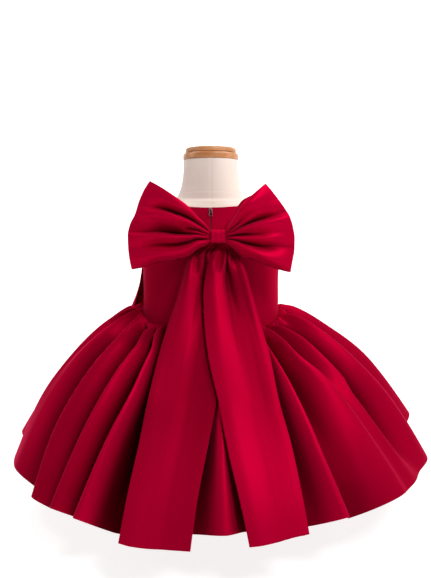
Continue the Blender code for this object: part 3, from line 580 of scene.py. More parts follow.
HEM_HEIGHT = 70.0
HEM_RADIUS = 295.0
HEM_SIDE_SHIFT = 9.0
SKIRT_BELL = 1.72
HEM_LIFT = 22.0
HEM_LIFT_ANGLE = 99.0
HEM_LIFT_WIDTH = 14.0
HEM_LEVEL = 0.46
GATHERS = 50
DEEPER_HIGH = 3.3
DEEPER_LOW = 1.7
FOLDS = table("waist high middle low hem rise_near rise_high rise_low rise_hem outline peak lean", [
    (-171, -171, -171, -172, -172, -4, -9, -9, -8, -4, 1, 0),
    (-162, -162, -162, -163, -163, 5, 9, 11, 8, 4, 1.3, 0),
    (-152, -152, -152, -153, -153, -6, -11, -11, -9, -4, 1, 0),
    (-143, -143, -143, -143, -143, 6, 10, 13, 8, 4, 0.8, 0),
    (-135, -135, -135, -134, -134, -4, -6, -5, -3, -2, 1, 0),
    (-129, -129, -129, -128, -128, 4, 5, 8, 6, 3, 1.5, 0),
    (-121, -121, -121, -120, -120, -6, -10, -11, -9, -4, 1, 0),
    (-110, -110, -110, -109, -108, 6, 9, 10, 6, 4, 0.9, 0),
    (-103, -103, -102, -102, -101, -4, -7, -5, -2, -2, 1, 0),
    (-97, -97, -96, -95.5, -95, 8, 6, 9, 12.5, 12.5, 1.2, 0),
    (-92, -89, -87, -85, -84, -3, -5, -6, -3, -3, 1, 0),
    (-86, -81, -79, -77, -73, 6, 10.5, 11.5, 0.5, 0.5, 1.1, 0),
    (-83, -77, -76.5, -73, -69, -2, 5, 9, 2, 2, 1, 0),
    (-79, -72, -73, -70, -66, 6, 10, 8, 2.5, 2.5, 1.1, 0),
    (-73, -59, -57.5, -55, -51, -9, -15, -14, -7, -2, 1, 0),
    (-68, -54, -53, -51, -46, 6, 11, 11, 8, 9, 1.1, 0),
    (-55, -42.5, -42.5, -42.5, -41.5, -9, -12, -10, -2, 12, 1, 0),
    (-48, -37.5, -38, -38, -38, 6, 10, 11, 8, 6.6, 0.9, 0),
    (-43.5, -31.5, -31, -33, -34.5, -8, -11, -12, -6, 8, 1, 0),
    (-39, -27.5, -26.5, -28.5, -30, 6, 10, 12, 9, 6.5, 1.1, 0),
    (-33, -22.5, -22, -23.5, -26, -12, -16, -20, -22, 19, 1, 0),
    (-19, -15.5, -16, -17, -18, -9, -12, -18, -20, 13, 1, 0),
    (-12, -11, -11, -11, -11, 0, 1, 0, 0, 2, 1, 0),
    (-5, -4, -4, -4, -4, -9, -12, -14, -10, -3, 1, 0),
    (2, 2.5, 3, 3, 3, -2, -1, 1, -1, -4, 1.4, 0),
    (8, 8, 8, 8, 8, -9, -11, -13, -11, -9, 1, 0),
    (14, 14, 14, 14, 14, 0, -1, 1, 0, 0, 1, 0),
    (19, 19, 19.5, 20, 20.5, -9, -12, -15, -14, -5.3, 1, 0),
    (23, 22.5, 22.5, 23, 24.5, -7, -9, -10, -11, -4, 1, 0),
    (28, 26.6, 27, 27.5, 29.5, 8, 13, 15, 4, -5, 1.1, 0),
    (32, 31, 31.5, 32, 34, -6, -9, -9, -9, 1, 1, 0),
    (38, 38, 43.7, 46, 49, 8, 13, 12, 6, 2.6, 0.9, 0),
    (43, 43, 47.5, 49.5, 53, -6, -7, 4, 3, 4.5, 1, 0),
    (50, 49.6, 51, 52.7, 57.5, 8, 12, 10, 4, 4.5, 0.8, 2),
    (57, 56, 57, 59, 63.5, -11, -18, -15, 2.5, 4.5, 1, 0),
    (73, 70, 70, 72, 72.5, 8, 13, 16, 11, 10.2, 1.2, 0),
    (86, 85, 85, 87, 88, -5, -6, -5, -3, -3, 1, 0),
    (98, 98, 98, 98, 98, 8, 9.5, 21, 18, 18, 1.2, 0),
    (109, 109, 109, 109, 109, -5, -9, -8, -3, -3, 1, 0),
    (115, 115, 115, 115, 115, 3, 4, 5, 4, 4, 0.9, 0),
    (121, 121, 121, 122, 122, -6, -10, -10, -8, -3, 1, 0),
    (131, 131, 131, 132, 132, 6, 10, 13, 8, 5, 1.3, 0),
    (140, 140, 140, 141, 141, -4, -7, -6, -3, -2, 1, 0),
    (147, 147, 147, 148, 148, 4, 5, 8, 5, 4, 1, 0),
    (155, 155, 155, 156, 156, -6, -10, -11, -9, -4, 1, 0),
    (165, 165, 165, 165, 165, 6, 10, 12, 7, 4, 0.9, 0),
    (173, 173, 173, 173, 173, -5, -8, -8, -8, -3, 1, 0),
    (181, 181, 181, 181, 181, 4, 6, 9, 5, 4, 1.2, 0),
])
GATHER_LENGTH = 0.34
GATHER_HEIGHT = 9.0
SKIRT_LENGTH = 280
SKIRT_SEAM = 0.003
# The rises between which the painted shade in the folds runs from none to full, and the flat painted shade
# on the left and on the right.
PAINTED_SHADE_CREST_RISE = 5.0
PAINTED_SHADE_TROUGH_RISE = -22.0
LEFT_PAINTED_SHADE = 0.36
RIGHT_PAINTED_SHADE = 0.27


def waves(places, heights, at, peaks):
    """Crests and troughs across a piece: the cubic of follow, for places and heights that are themselves
    arrays, and each climb to a crest raised to that crest's peak, where 1 is round, more a sharper crest
    with a wide trough and less a wide crest with a sharp trough."""
    places = [place + 0 * at for place in places]
    step = [b - a for a, b in zip(places[:-1], places[1:])]
    slope = [(b - a) / s for a, b, s in zip(heights[:-1], heights[1:], step)]
    tangent = tangents(step, slope)
    relief = np.zeros(np.shape(at))
    for k in range(len(step)):
        t = (at - places[k]) / step[k]
        inside = (t >= 0) & (t < 1)
        t = unit(t)
        whole = heights[k + 1] - heights[k]
        safe = np.where(np.abs(whole) < 1e-6, 1.0, whole)
        bent = tangent[k] * t * (1 - t) ** 2 - tangent[k + 1] * t**2 * (1 - t)
        climb = unit(t**2 * (3 - 2 * t) + step[k] * bent / safe)
        climb = np.where(whole >= 0, climb ** peaks[k + 1], 1 - (1 - climb) ** peaks[k])
        relief = np.where(inside, heights[k] + whole * climb, relief)
    return relief


def skirt_relief(angle, reach):
    """The folds at an angle and a share of the skirt's length: how far they stand out, how many degrees
    they lean over, how far the hem hangs down in them, and the angle at which the line through this place
    leaves the waist."""
    places = zip(*(FOLDS[c] for c in ("waist", "high", "middle", "low", "hem")))
    heights = zip(*(FOLDS[c] for c in ("rise_near", "rise_high", "rise_low", "rise_hem")))
    lines = [follow((0.05, 0.3, 0.5, 0.75, 1.0), row, reach) for row in places]
    rises = [follow((0, 0.02, 0.12, 0.33, 0.66, 1.0), (0, 0, *row), reach) for row in heights]
    deeper = DEEPER_LOW + (DEEPER_HIGH - DEEPER_LOW) * unit((0.9 - reach) / 0.4)
    rises = [np.where(rise < 0, deeper * rise, rise) for rise in rises]
    lines, rises = [*lines, lines[0] + 360.0], [*rises, rises[0]]
    peaks = [1 + (peak - 1) * (1 - reach) for peak in (*FOLDS["peak"], FOLDS["peak"][0])]
    leans, outlines, starts = ([*FOLDS[c], FOLDS[c][0]] for c in ("lean", "outline", "waist"))
    starts[-1] += 360.0
    even = [1.0] * len(lines)
    wrapped = (angle - starts[0]) % 360.0 + starts[0]
    wrapped = np.where(wrapped < lines[0], wrapped + 360.0, wrapped)
    wrapped = np.where(wrapped >= lines[-1], wrapped - 360.0, wrapped)
    rise = waves(lines, rises, wrapped, peaks)
    level = HEM_LEVEL * (1 + 0.6 * np.abs(np.sin(np.radians(angle))))
    drop = level * (waves(lines, outlines, wrapped, even) - rise) * reach**4
    start = np.zeros(np.shape(wrapped))
    for k in range(len(lines) - 1):
        share = (wrapped - lines[k]) / (lines[k + 1] - lines[k])
        start = np.where((share >= 0) & (share < 1), starts[k] + share * (starts[k + 1] - starts[k]), start)
    reached = unit((reach - 0.1) / 0.15) * unit((0.60 - reach) / 0.07)
    return rise, waves(lines, leans, wrapped, even) * reached, drop, start


def gather_relief(start, reach):
    """The small gathers at the waist: rounded puffs with narrow creases between them, uneven in width,
    height and length, by the sine squared of the phase raised to a power below 1."""
    phase = GATHERS * start / 360 + 0.6 * uneven(start, 0 * start, 3, 24)
    puff = (np.sin(np.pi * phase) ** 2 + 0.005) ** 0.8
    length = GATHER_LENGTH + 0.16 * uneven(start, 0 * start, 5, 14)
    tall = GATHER_HEIGHT + 3.5 * uneven(start, 0 * start, 7, 17)
    fade = unit(reach / 0.022) ** 0.6 * unit(1 - reach / np.maximum(length, 0.10)) ** 1.3
    return tall * (puff - 0.42) * fade


def skirt_point(angle, reach):
    """The middle of the skirt's wall, from the waist seam (reach 0) to the hem (reach 1): x and y go
    straight from the waist's outline to a round hem while the height falls by a power of reach, which
    makes the bell, and the folds and gathers stand out of it."""
    rise, lean, drop, start = skirt_relief(angle, reach)
    turn = np.radians(angle + lean)
    waist = over_form(angle + lean, waist_height(angle + lean), BODICE_OFF_FORM + 0.6)
    radius = HEM_RADIUS + HEM_SIDE_SHIFT * np.sin(turn)
    top = waist[..., 2] - 0.1
    x = waist[..., 0] + (radius * np.sin(turn) - waist[..., 0]) * reach
    y = waist[..., 1] + (-radius * np.cos(turn) - waist[..., 1]) * reach
    z = top - (top - HEM_HEIGHT) * reach**SKIRT_BELL
    gather = gather_relief(start, reach)
    lifted = HEM_LIFT * ridge(angle - HEM_LIFT_ANGLE, HEM_LIFT_WIDTH) * reach**3
    outward = rise * (0.45 + 0.55 * reach) + np.where(gather > 0, 0.4, 0.15) * gather
    z = z + (0.75 * rise + np.where(gather > 0, 1.0, 0.35) * gather) * (1 - reach) + lifted - drop
    return np.stack([x + outward * np.sin(turn), y - outward * np.cos(turn), z], -1)


def skirt_panel(name, replaced, start, end, columns, rows):
    """One panel between two seams. Its rows stand closer together near the waist, where the gathers are.
    Its cloth carries painted shade: darker deep in the folds, and a little darker away from the middle of
    the back."""
    reach = spread(0, 1, rows, SKIRT_LENGTH) ** 1.35
    hem = 1 - EDGE_STEPS[3::-1] * CLOTH / 2 / SKIRT_LENGTH
    reach = np.concatenate([[0, 0.0005, 0.0015], reach[(reach > 0.002) & (reach < 0.997)], hem])
    spots = spread(start + SKIRT_SEAM, end - SKIRT_SEAM, columns, 300 * np.radians(end - start))
    angle, reach = np.meshgrid(spots, reach)
    wall = skirt_point(angle, reach)
    lap = (angle - start) / (end - start) * np.ptp(run_along(wall, 1)[-1])
    uv = np.stack([lap, run_along(wall, 0)], -1) * MM
    rise, _, _, begun = skirt_relief(angle, reach)
    # Painted shade: darker deep in the folds and between the gathers, less so round 27 degrees, and an even
    # painted shade that grows away from the middle of the back.
    depth = 0.9 * painted_fold_shade(rise + 2.6 * gather_relief(begun, reach), PAINTED_SHADE_CREST_RISE, PAINTED_SHADE_TROUGH_RISE)
    depth = depth * (1 - 0.25 * ridge(angle - 27, 8))
    side = angle_between(angle, 0)
    painted_shade = np.where(side < 0, LEFT_PAINTED_SHADE - 0.12 * unit((-side - 50) / 15), RIGHT_PAINTED_SHADE)
    depth = depth + (1 - depth) * painted_shade * np.clip((np.abs(side) - 24) / 18, 0.1, 1)
    return settle(cloth(name, wall, uv, depth=depth), crimson, replaced)


skirt_left = skirt_panel("skirt_left", "skirt_back_left", -90.0, 0.0, 270, 106)
skirt_right = skirt_panel("skirt_right", "skirt_back_right", 0.0, 90.0, 270, 106)
skirt_fore = skirt_panel("skirt_fore", "skirt_front", 90.0, 270.0, 440, 100)

# ------------------------------------------------------------
# The bow's loops: each a double sheet of satin folded back on itself, its middle drawn together in the
# knot, so that creases fan out across it. They stand away from the back and stay open at both edges.

KNOT_X = 9.5
KNOT_HEIGHT = 377.5
KNOT_FRONT = -96.0
KNOT_BACK = -72.4
LOOP_ROOT = 2.0
LOOP_NECK = 10.6
NECK_REACH = 0.08


def both_sides(columns, left, right):
    """A table for the left side and one for the right, with the same columns."""
    return {"left": table(columns, left), "right": table(columns, right)}


LOOP_EDGES = both_sides("out bottom top", [
    (0, -5, 5), (10.2, -6.6, 6.6), (12.5, -9.2, 10.2), (17, -12, 16), (26.5, -16.3, 25.5), (39, -26, 39.4),
    (57, -31.2, 52.8), (77, -34.1, 65.8), (98, -40.7, 77), (120, -45.2, 87),
], [
    (0, -5, 5), (10.2, -6.6, 6.6), (12, -9.2, 10.6), (16, -12, 16.9), (23, -18, 28), (31.3, -26.2, 42),
    (47.6, -31.2, 56.6), (62, -37.3, 68.9), (80, -43.4, 82), (103, -49.5, 95),
])
LOOP_ENDS = both_sides("out up", [
    (114.5, -44.1), (117.2, -31.1), (118.9, -13.7), (119.2, 0.8), (116.1, 15.1), (109, 29.4), (104.1, 44.6),
    (96.2, 61.7), (89, 72.4),
], [
    (96.8, -47.9), (99.1, -33.2), (101.4, -18), (101.6, -3), (99.4, 11.1), (95.1, 25), (87.6, 37), (75, 54),
    (62, 68.9),
])
LOOP_FULLNESS = table("reach half_gap", [
    (0, 5.4), (NECK_REACH, 6), (0.3, 11), (0.6, 14), (0.85, 11), (1, 5),
])
LOOP_CREASES = both_sides("at_knot at_middle at_end rise_knot rise_middle rise_end peak", [
    (-1, -1, -1, -5.4, -9.5, -3.8, 1), (-0.63, -0.79, -0.76, 6.8, 6.8, 5, 0.8),
    (-0.36, -0.5, -0.54, -9.5, -8.1, -1.2, 1), (-0.17, -0.26, -0.31, 5.4, 8.1, 5, 0.6),
    (-0.08, -0.18, -0.22, -8.1, -12.2, -3.8, 1), (0.06, 0, 0, 4.1, -6.8, -1.2, 0.6),
    (0.17, 0.14, 0.1, -8.1, 0, 1.2, 1), (0.41, 0.385, 0.2, 8.1, 9.5, 5, 0.6),
    (0.55, 0.48, 0.38, -8.1, -12.2, -1.2, 1), (0.9, 0.8, 0.78, 5.4, 6.8, 3.8, 0.6),
    (1, 1, 1, -1.4, 4.1, 2.5, 1),
], [
    (-1, -1, -1, -6.8, -9.5, -3.8, 1), (-0.53, -0.75, -0.84, 8.1, 9.5, 5, 0.7),
    (-0.43, -0.56, -0.5, -8.1, -9.5, -3.8, 1), (-0.27, -0.32, -0.35, 6.8, 2.7, 1.2, 0.8),
    (-0.14, -0.22, -0.2, -8.1, -4.1, 0, 1), (0.05, 0.06, 0.04, 6.8, 8.1, 5, 0.6),
    (0.16, 0.14, 0.16, -6.8, -10.8, -3.8, 1), (0.24, 0.33, 0.4, 5.4, 0, 2.5, 0.8),
    (0.33, 0.45, 0.52, -4.1, 1.4, 2.5, 1), (0.66, 0.78, 0.75, 6.8, 9.5, 5, 0.6),
    (1, 1, 1, -2.7, 2.7, 2.5, 1),
])
LOOP_CREASE_LEVELS = (0.24, 0.5, 0.9)


def creases(rows, columns, levels, across, along):
    """The relief of a fan of creases: each crease's place and rise follow their values at the given
    levels along the piece, and crests and troughs run between them."""
    at, rise = columns
    places = [follow(levels, row, along) for row in zip(*(rows[c] for c in at))]
    rises = [follow(levels, row, along) for row in zip(*(rows[c] for c in rise))]
    return waves(places, rises, np.clip(across, -1, 0.9999), list(rows["peak"]))


def loop_point(side, along, across):
    """A loop's sheet and the painted shade of each place: out from the knot (along 0) in its outer layer,
    round the free end (0.5) and back (1) in its inner layer. How far out is a sine of along, which layer
    its cosine, and across runs between the lower (-1) and the upper edge (1). The painted shade darkens
    the creases of the outer layer."""
    edges, end, rows = LOOP_EDGES[side], LOOP_ENDS[side], LOOP_CREASES[side]
    sign = -1 if side == "left" else 1
    low = follow(edges["out"], edges["bottom"], end["out"])
    high = follow(edges["out"], edges["top"], end["out"])
    end_across = 2 * (end["up"] - low) / (high - low) - 1
    reach = np.sin(np.pi * along)
    layer = np.cos(np.pi * along)
    furthest = follow(end_across, end["out"], across)
    out = (
        LOOP_ROOT
        + (LOOP_NECK - LOOP_ROOT) * unit(reach / NECK_REACH)
        + (furthest - LOOP_NECK) * unit((reach - NECK_REACH) / (1 - NECK_REACH))
    )
    bottom = follow(edges["out"], edges["bottom"], out)
    top = follow(edges["out"], edges["top"], out)
    up = bottom + (top - bottom) * (across + 1) / 2
    behind = unit(-layer)
    if side == "right":
        up = up + 5.0 * behind * np.sin(np.pi * unit(reach / 0.7)) * ((across + 1) / 2) ** 3
    half_gap = follow(LOOP_FULLNESS["reach"], LOOP_FULLNESS["half_gap"], reach)
    middle = (KNOT_FRONT + KNOT_BACK) / 2 - 8.0 * np.sin(np.pi * reach / 2)
    columns = (("at_knot", "at_middle", "at_end"), ("rise_knot", "rise_middle", "rise_end"))
    fan = creases(rows, columns, LOOP_CREASE_LEVELS, across, reach)
    grown = follow((0.0, NECK_REACH, 0.13, 0.24, 1.0), (0.0, 0.10, 0.6, 1.0, 1.0), reach)
    weight = np.where(layer > 0, 1.0, 0.3) * np.abs(layer) ** 0.6
    y = middle - layer * half_gap - fan * grown * weight
    # Painted shade deep in the creases, on the outer layer only.
    depth = 0.6 * painted_fold_shade(fan * grown, 0.5, -10.0) * unit(layer * 3)
    return np.stack([KNOT_X + sign * out, y, KNOT_HEIGHT + up], -1), depth


for side in ("left", "right"):
    outward = np.arcsin(np.linspace(0, 1, 70) ** 0.9) / np.pi
    along = np.concatenate([outward, 1 - outward[::-1][1::2]])
    along = np.unique(np.concatenate([along, [0.0005, 0.001, 0.999, 0.9995, 1.0]]))
    across, along = np.meshgrid(spread(-1, 1, 120, 90), along)
    wall, depth = loop_point(side, along, across)
    loop = cloth(f"loop_{side}", wall, flat_uv(wall)[..., ::-1], depth=depth)
    settle(loop, crimson, f"bow_loop_{side}")

# ------------------------------------------------------------
# The tails: two long hemmed sashes, pleated together under the knot. They stand clear of the bodice,
# land on the skirt and lie over its folds, the right one over the left, and hang a little past the hem.

TAIL_EDGES = both_sides("height left_edge right_edge", [
    (373, -1, 8.5), (366, -3, 9), (350, -29, 4), (327, -37, 6), (295, -45, 12), (262, -56, 17),
    (231, -65, 14), (186, -75, 7), (150, -81, -2), (97, -91.5, -15), (60.5, -97.3, -21),
], [
    (373, 10.5, 20), (366, 10, 22), (350, -1, 38), (327, -7, 48), (302, -9.5, 54.5), (262, -7.5, 66),
    (227, -2, 75), (186, 9.5, 81.5), (145, 19, 92), (92, 34, 101), (67.5, 40, 104.3),
])
TAIL_DEPTH = table("height depth bend", [
    (373, 71, 330), (367, 72.2, 320), (358, 79, 260), (345, 89, 200), (320, 101, 170), (295, 113, 160),
    (270, 127, 165), (248, 143, 175), (226, 162, 190), (206, 182, 208), (186, 203.5, 230), (166, 222, 250),
    (145, 241, 270), (118, 264, 290), (92, 284, 310), (58, 307, 330),
])
TAIL_CLOTH = 1.5
RIGHT_TAIL_ABOVE = 3.4
TAIL_SLANT = {"left": -1.2, "right": 3.2}
TAIL_LOWER = {"left": 0.3, "right": 1.1}
# The painted shade below the knot on each tail.
TAIL_PAINTED_SHADE = {"left": 0.34, "right": 0.24}
TAIL_LEVELS = (0.045, 0.09, 0.16, 0.26, 0.55, 1.0)
TAIL_CREASES = both_sides("p1 p2 p3 p4 p5 p6 r1 r2 r3 r4 r5 r6 peak", [
    (-1, -1, -1, -1, -1, -1, -4, -4, -4, -2, -1, 0, 1),
    (-0.85, -0.68, -0.62, -0.68, -0.7, -0.65, -1, 3, 6.5, 7, 3.5, 2, 1),
    (-0.66, -0.24, -0.2, -0.2, -0.2, -0.2, -6, -2, 2.5, 2.5, 1.6, 1.2, 1),
    (-0.22, 0.12, 0.05, 0.02, 0, 0, 5, 5, 0, -2, -0.4, 0.2, 1.4),
    (-0.02, 0.34, 0.3, 0.3, 0.3, 0.3, -6, -7, -7, -5, -3, -1.2, 1),
    (0.38, 0.6, 0.6, 0.6, 0.6, 0.6, 3, 1, -6, -5.6, -4, -1.8, 1.5),
    (0.68, 0.8, 0.8, 0.8, 0.8, 0.8, -6, -6, -6.5, -5.8, -4.2, -2, 1),
    (1, 1, 1, 1, 1, 1, -5, -6, -6.8, -6, -4.4, -2.2, 1),
], [
    (-1, -1, -1, -1, -1, -1, -1, -1, 0, 1, 1, 0, 1),
    (-0.62, -0.7, -0.55, -0.5, -0.6, -0.6, 6, 7, 5, 6, 4, 1.5, 1),
    (-0.18, -0.28, -0.4, -0.3, -0.35, -0.35, -5, -2, 4.5, 4.5, 3, 1.2, 1),
    (0.22, 0, -0.2, -0.12, -0.05, 0, 4, 4, 3.5, 2, 0.5, 0.5, 1.4),
    (0.36, 0.09, 0.06, 0.1, 0.2, 0.25, -7, -9, -9, -6, -2.5, -0.5, 1),
    (0.56, 0.24, 0.3, 0.35, 0.45, 0.5, 5, 3, -3, -4, -3.2, -1, 1.4),
    (0.84, 0.5, 0.6, 0.65, 0.65, 0.7, -6, -1, 0, -1, -1.5, -0.6, 1),
    (0.94, 0.93, 0.9, 0.9, 0.88, 0.85, 1, 4, 5.5, 3.5, 0.6, 0, 1),
    (1, 1, 1, 1, 1, 1, -1, 2, 4, 3, 0.4, 0, 1),
])


def tail_point(side, along, across):
    """A tail's sheet from the knot (along 0) to its cut end (1), and the painted shade of each place: its
    edges and its distance behind the body follow their tables level by level, it bends across by a
    parabola, and its pleats stand out of that. The painted shade darkens the cloth between the pleats
    and below the knot."""
    edges, rows = TAIL_EDGES[side], TAIL_CREASES[side]
    top, bottom = edges["height"][0], edges["height"][-1]
    height = top + (bottom - top) * along
    levels = edges["height"][::-1]
    left_edge = follow(levels, edges["left_edge"][::-1], height)
    right_edge = follow(levels, edges["right_edge"][::-1], height)
    x = left_edge + (right_edge - left_edge) * (across + 1) / 2
    levels = TAIL_DEPTH["height"][::-1]
    depth = follow(levels, TAIL_DEPTH["depth"][::-1], height)
    bend = follow(levels, TAIL_DEPTH["bend"][::-1], height)
    at = tuple(f"p{i}" for i in range(1, 7))
    rise = tuple(f"r{i}" for i in range(1, 7))
    pleats = creases(rows, (at, rise), TAIL_LEVELS, across, along)
    grown = follow((0.0, 0.035, 0.06, 0.10, 1.0), (0.02, 0.15, 0.6, 1.0, 1.0), along)
    above = (RIGHT_TAIL_ABOVE if side == "right" else 0.0) * unit(along / 0.05)
    # Painted shade between the pleats and below the knot.
    painted_shade = 0.75 * painted_fold_shade(pleats * grown, 4.0, -11.0)
    painted_shade = painted_shade + (1 - painted_shade) * (TAIL_PAINTED_SHADE[side] * unit((1.15 - along) / 0.5) ** 2)
    cut_end = height + (TAIL_SLANT[side] * across - TAIL_LOWER[side]) * along**8
    return np.stack([x, -(depth - x**2 / (2 * bend) + pleats * grown + above), cut_end], -1), painted_shade


for side in ("left", "right"):
    along = np.unique(np.concatenate([spread(0, 1, 150, 360), np.linspace(0.01, 0.25, 60)]))
    across, along = np.meshgrid(spread(-1, 1, 70, 75), along)
    wall, painted_shade = tail_point(side, along, across)
    tail = cloth(f"sash_{side}", wall, flat_uv(wall), TAIL_CLOTH, depth=painted_shade)
    settle(tail, crimson, f"tail_{side}")

# ------------------------------------------------------------
# The knot: a folded band of the same satin, wrapped tightly round the middle of the bow and sewn
# together at the back, its edges rolled under.

KNOT_WIDTH = 20.4
KNOT_HALF_DEPTH = 11.8
KNOT_HALF_HEIGHT = 9.5
KNOT_CLOTH = 1.4
turn = np.radians(np.arange(0, 360, 3.0))[None, :]
place_x = spread(-0.5, 0.5, 44, KNOT_WIDTH)[:, None] * KNOT_WIDTH
pinch = 1 - 0.07 * np.cos(np.pi * place_x / KNOT_WIDTH)
narrow = 1 - 0.07 * np.cos(turn) ** 4
folds = -0.4 * ridge(place_x + 5.6 + 0.8 * np.sin(turn), 1.6)
folds = folds - 0.3 * ridge(place_x - 4.0 + 1.2 * np.sin(turn), 1.8)
folds = folds - 1.6 * ridge(np.abs(place_x) - KNOT_WIDTH / 2, 1.4)
soft = folds + 0.35 * uneven(place_x, np.degrees(turn) / 6, 11, 9) * np.sin(turn) ** 2
half_depth = KNOT_HALF_DEPTH - KNOT_CLOTH / 2 + soft
half_height = KNOT_HALF_HEIGHT - KNOT_CLOTH / 2 + 0.6 * soft
knot_y = (KNOT_FRONT + KNOT_BACK) / 2 - half_depth * power(np.cos(turn), 0.5)
knot_z = KNOT_HEIGHT + half_height * pinch * power(np.sin(turn), 0.5)
wall = np.stack([KNOT_X + place_x * narrow, knot_y, knot_z], -1)
knot_band = cloth("knot_band", wall[::-1], flat_uv(wall), KNOT_CLOTH, round_it=True)
settle(knot_band, crimson, "bow_knot")

# ------------------------------------------------------------
# The pleated drape on the wearer's left front: a strip sewn in along a slanting line, whose lower edge
# stands off the bodice in uneven pleats.

DRAPE_FLARE = table("along stand_off peak", [
    (0, 15, 1), (0.1, 21, 1.4), (0.22, 14, 1), (0.36, 19, 1.3), (0.5, 11, 1), (0.64, 15, 1.4), (0.8, 8, 1),
    (1, 2.5, 1),
])
DRAPE_TOP_BACK = 334.0
DRAPE_TOP_FRONT = 292.0
DRAPE_LOW = 264.6
down, along = np.meshgrid(spread(0, 1, 40, 60), spread(0, 1, 120, 150), indexing="ij")
top = DRAPE_TOP_BACK + (DRAPE_TOP_FRONT - DRAPE_TOP_BACK) * along
places, heights, peaks = (list(DRAPE_FLARE[c]) for c in ("along", "stand_off", "peak"))
flare = waves(places, heights, np.clip(along, 0, 0.9999), peaks)
flare = flare + 0.8 * uneven(along * 150, down * 60, 21, 40)
off_bodice = BODICE_OFF_FORM + CAD_CLOTH + GAP + CAD_CLOTH / 2 + 0.1
wall = over_form(-91.0 - 67.0 * along, top + (DRAPE_LOW - top) * down, off_bodice + flare * down**1.2)
drape = settle(cloth("pleated_drape", wall, flat_uv(wall)), crimson, "side_drape")

# ------------------------------------------------------------
# The zip: two narrow woven tapes dyed to match, a row of fine moulded teeth where they meet, a dark
# plated slider at the neckline, and its wire pull, which hangs in the slider's bail and swings.

SLIDER_TOP = 413.6
ZIP_CLOTH = 0.7
angle, height = np.meshgrid(np.linspace(-2.2, 2.2, 31), np.linspace(249, 414.4, 160))
middle = over_form(angle, height, 0.62 - 0.15 * ridge(angle, 0.12))
zip_strip = cloth("zip_strip", middle, flat_uv(middle), ZIP_CLOTH)
tape_cloth, shader, tree, place = material("zip_tape_weave", mapped=True)
twill = stretched(tree, place, (1.0, 1.0, 1.0), Rotation=(0, 0, 0.8))
weave = node(tree, "ShaderNodeTexWave", {"Vector": twill, "Scale": 800.0, "Distortion": 0.5}).outputs["Fac"]
put(tree, shader, {
    "Base Color": mixed(tree, weave, (0.20, 0.001, 0.012, 1), (0.34, 0.003, 0.02, 1)),
    "Normal": bumps(tree, weave, 0.3, 0.0001),
    "Roughness": 0.75,
})
settle(zip_strip, tape_cloth, "zip_tape")


def carried(paths, radius, sides=8, closed=False):
    """Round tubes along several paths at once, as one grid of points for each: at every point of a path
    a ring stands across it, set up on the path's direction and the upright."""
    ahead = np.roll(paths, -1, axis=1) if closed else np.concatenate([paths[:, 1:], paths[:, -1:]], 1)
    behind = np.roll(paths, 1, axis=1) if closed else np.concatenate([paths[:, :1], paths[:, :-1]], 1)
    way = ahead - behind
    way /= np.linalg.norm(way, axis=-1, keepdims=True)
    side_way = np.cross(way, [0.13, -0.86, 0.49])
    side_way /= np.linalg.norm(side_way, axis=-1, keepdims=True)
    third = np.cross(way, side_way)
    turn = np.linspace(0, 2 * np.pi, sides, endpoint=False)
    radius = np.asarray(radius)[..., None, None]
    return paths[:, :, None] + radius * (
        np.cos(turn)[:, None] * side_way[:, :, None] + np.sin(turn)[:, None] * third[:, :, None]
    )


TOOTH_PITCH = 0.9
TOOTH_RADIUS = 0.28
tooth_heights = np.arange(252, 405, TOOTH_PITCH)
swing = np.linspace(-1, 1, 5)[None, :]
flip = np.where(np.arange(len(tooth_heights)) % 2 == 0, 1.0, -1.0)[:, None]
tooth_out = BODICE_OFF_FORM + 0.55 + 0.25 * (1 - swing**2)
tooth_paths = over_form(0.26 * swing * flip, tooth_heights[:, None] + 0.25 * swing, tooth_out)
rings = carried(tooth_paths, TOOTH_RADIUS * np.sqrt(1 - 0.75 * swing**2), 6)
count, steps, sides = rings.shape[:3]
ends = np.arange(count)[:, None] * steps * sides
quads = grid_quads(steps, sides, round_it=True)[None] + ends[..., None]
halves = np.array([0, 1, 2, 3]), np.array([0, 3, 4, 5])
caps = [ends + half[::-1] for half in halves] + [ends + (steps - 1) * sides + half for half in halves]
faces = np.concatenate([quads.reshape(-1, 4), *caps])[:, ::-1]
zip_teeth = mesh_object("zip_teeth", rings, faces)
teeth_plastic, shader, tree, place = material("dyed_nylon")
tone = noise(tree, place, 600.0)
colour = mixed(tree, tone, (0.22, 0.001, 0.012, 1), (0.34, 0.004, 0.03, 1))
put(tree, shader, {"Base Color": colour, "Roughness": 0.4})
settle(zip_teeth, teeth_plastic)

gunmetal, shader, tree, place = material("dark_plated_metal")
wear = noise(tree, place, 900.0, Detail=4.0)
put(tree, shader, {
    "Base Color": mixed(tree, wear, (0.06, 0.045, 0.05, 1), (0.16, 0.12, 0.13, 1)),
    "Roughness": node(tree, "ShaderNodeMapRange", {"Value": wear, "To Min": 0.25, "To Max": 0.5}).outputs[0],
    "Metallic": 1.0,
})

slider_origin = torso_point(np.array(0.0), np.array(SLIDER_TOP))
slider_out = over_form(np.array(0.0), np.array(SLIDER_TOP), 1.0) - slider_origin
slider_across = np.array([1.0, 0.0, 0.0])
slider_up = np.cross(slider_across, -slider_out)


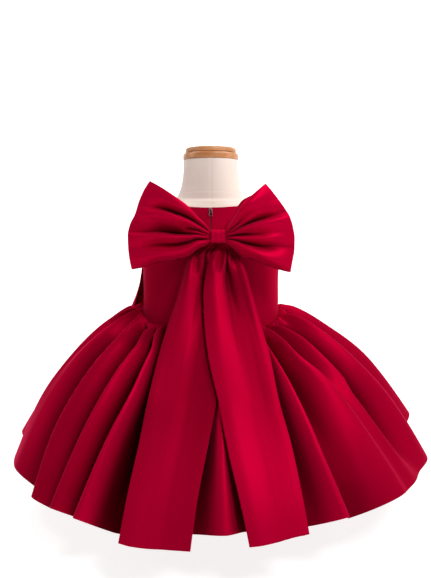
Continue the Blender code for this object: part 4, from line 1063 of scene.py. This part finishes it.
def on_slider(across, out, up):
    """A point given by its distances along the slider's own axes."""
    across, out, up = across[..., None], out[..., None], up[..., None]
    return slider_origin + across * slider_across + out * slider_out + up * slider_up


turn, level = np.meshgrid(np.radians(np.arange(0, 360, 7.5)), np.linspace(0, 1, 11))
edge = np.sin(np.pi * np.clip(level, 0.02, 0.98)) ** 0.3
taper = 1 - 0.18 * np.sin(turn)
plate_across = 2.3 * edge * power(np.cos(turn), 0.55) * taper
plate = on_slider(plate_across, 3.1 + 1.6 * level, -3.6 + 4.0 * edge * power(np.sin(turn), 0.6))
slider_plate = mesh_object("slider_plate", plate, grid_quads(11, 48, round_it=True)[:, ::-1])
arch = np.radians(np.linspace(-20, 200, 23))
bail_path = on_slider(0 * arch, 4.4 + 2.9 * np.sin(arch), -3.0 + 2.0 * np.cos(arch))[None]
bail = carried(bail_path, np.full((1, 23), 0.5), 10)
slider_bail = mesh_object("slider_bail", bail, grid_quads(23, 10, round_it=True))

HINGE_OUT = BODICE_OFF_FORM + CAD_CLOTH + GAP + 1.6 + 1.45
PULL_LEAN = math.radians(9.0)
PULL_POINTS = 96
turn = np.radians(np.linspace(35, -215, 46))
drop = np.stack([2.5 * np.cos(turn), -7.9 + 2.7 * np.sin(turn)], -1)
top_bar = np.stack([np.linspace(-1.3, 1.3, 9)[1:-1], np.zeros(7)], -1)
across, down = np.concatenate([top_bar, drop]).T
wire = on_slider(across, HINGE_OUT + down * math.sin(PULL_LEAN), -3.0 + down * math.cos(PULL_LEAN))
closed_wire = np.concatenate([wire, wire[:1]])
reached = run_along(closed_wire[None], 1)[0]
even = np.linspace(0, reached[-1], PULL_POINTS + 1)[:-1]
wire = np.stack([np.interp(even, reached, closed_wire[:, i]) for i in range(3)], -1)
pull = carried(wire[None], np.full((1, PULL_POINTS), 0.45), 10, closed=True)
pull_ring = mesh_object("pull_ring", pull, grid_quads(PULL_POINTS, 10, round_it=True, ring=True))
settle(slider_plate, gunmetal, "zip_slider")
settle(slider_bail, gunmetal)
settle(pull_ring, gunmetal, "zip_pull", body="zip_pull")
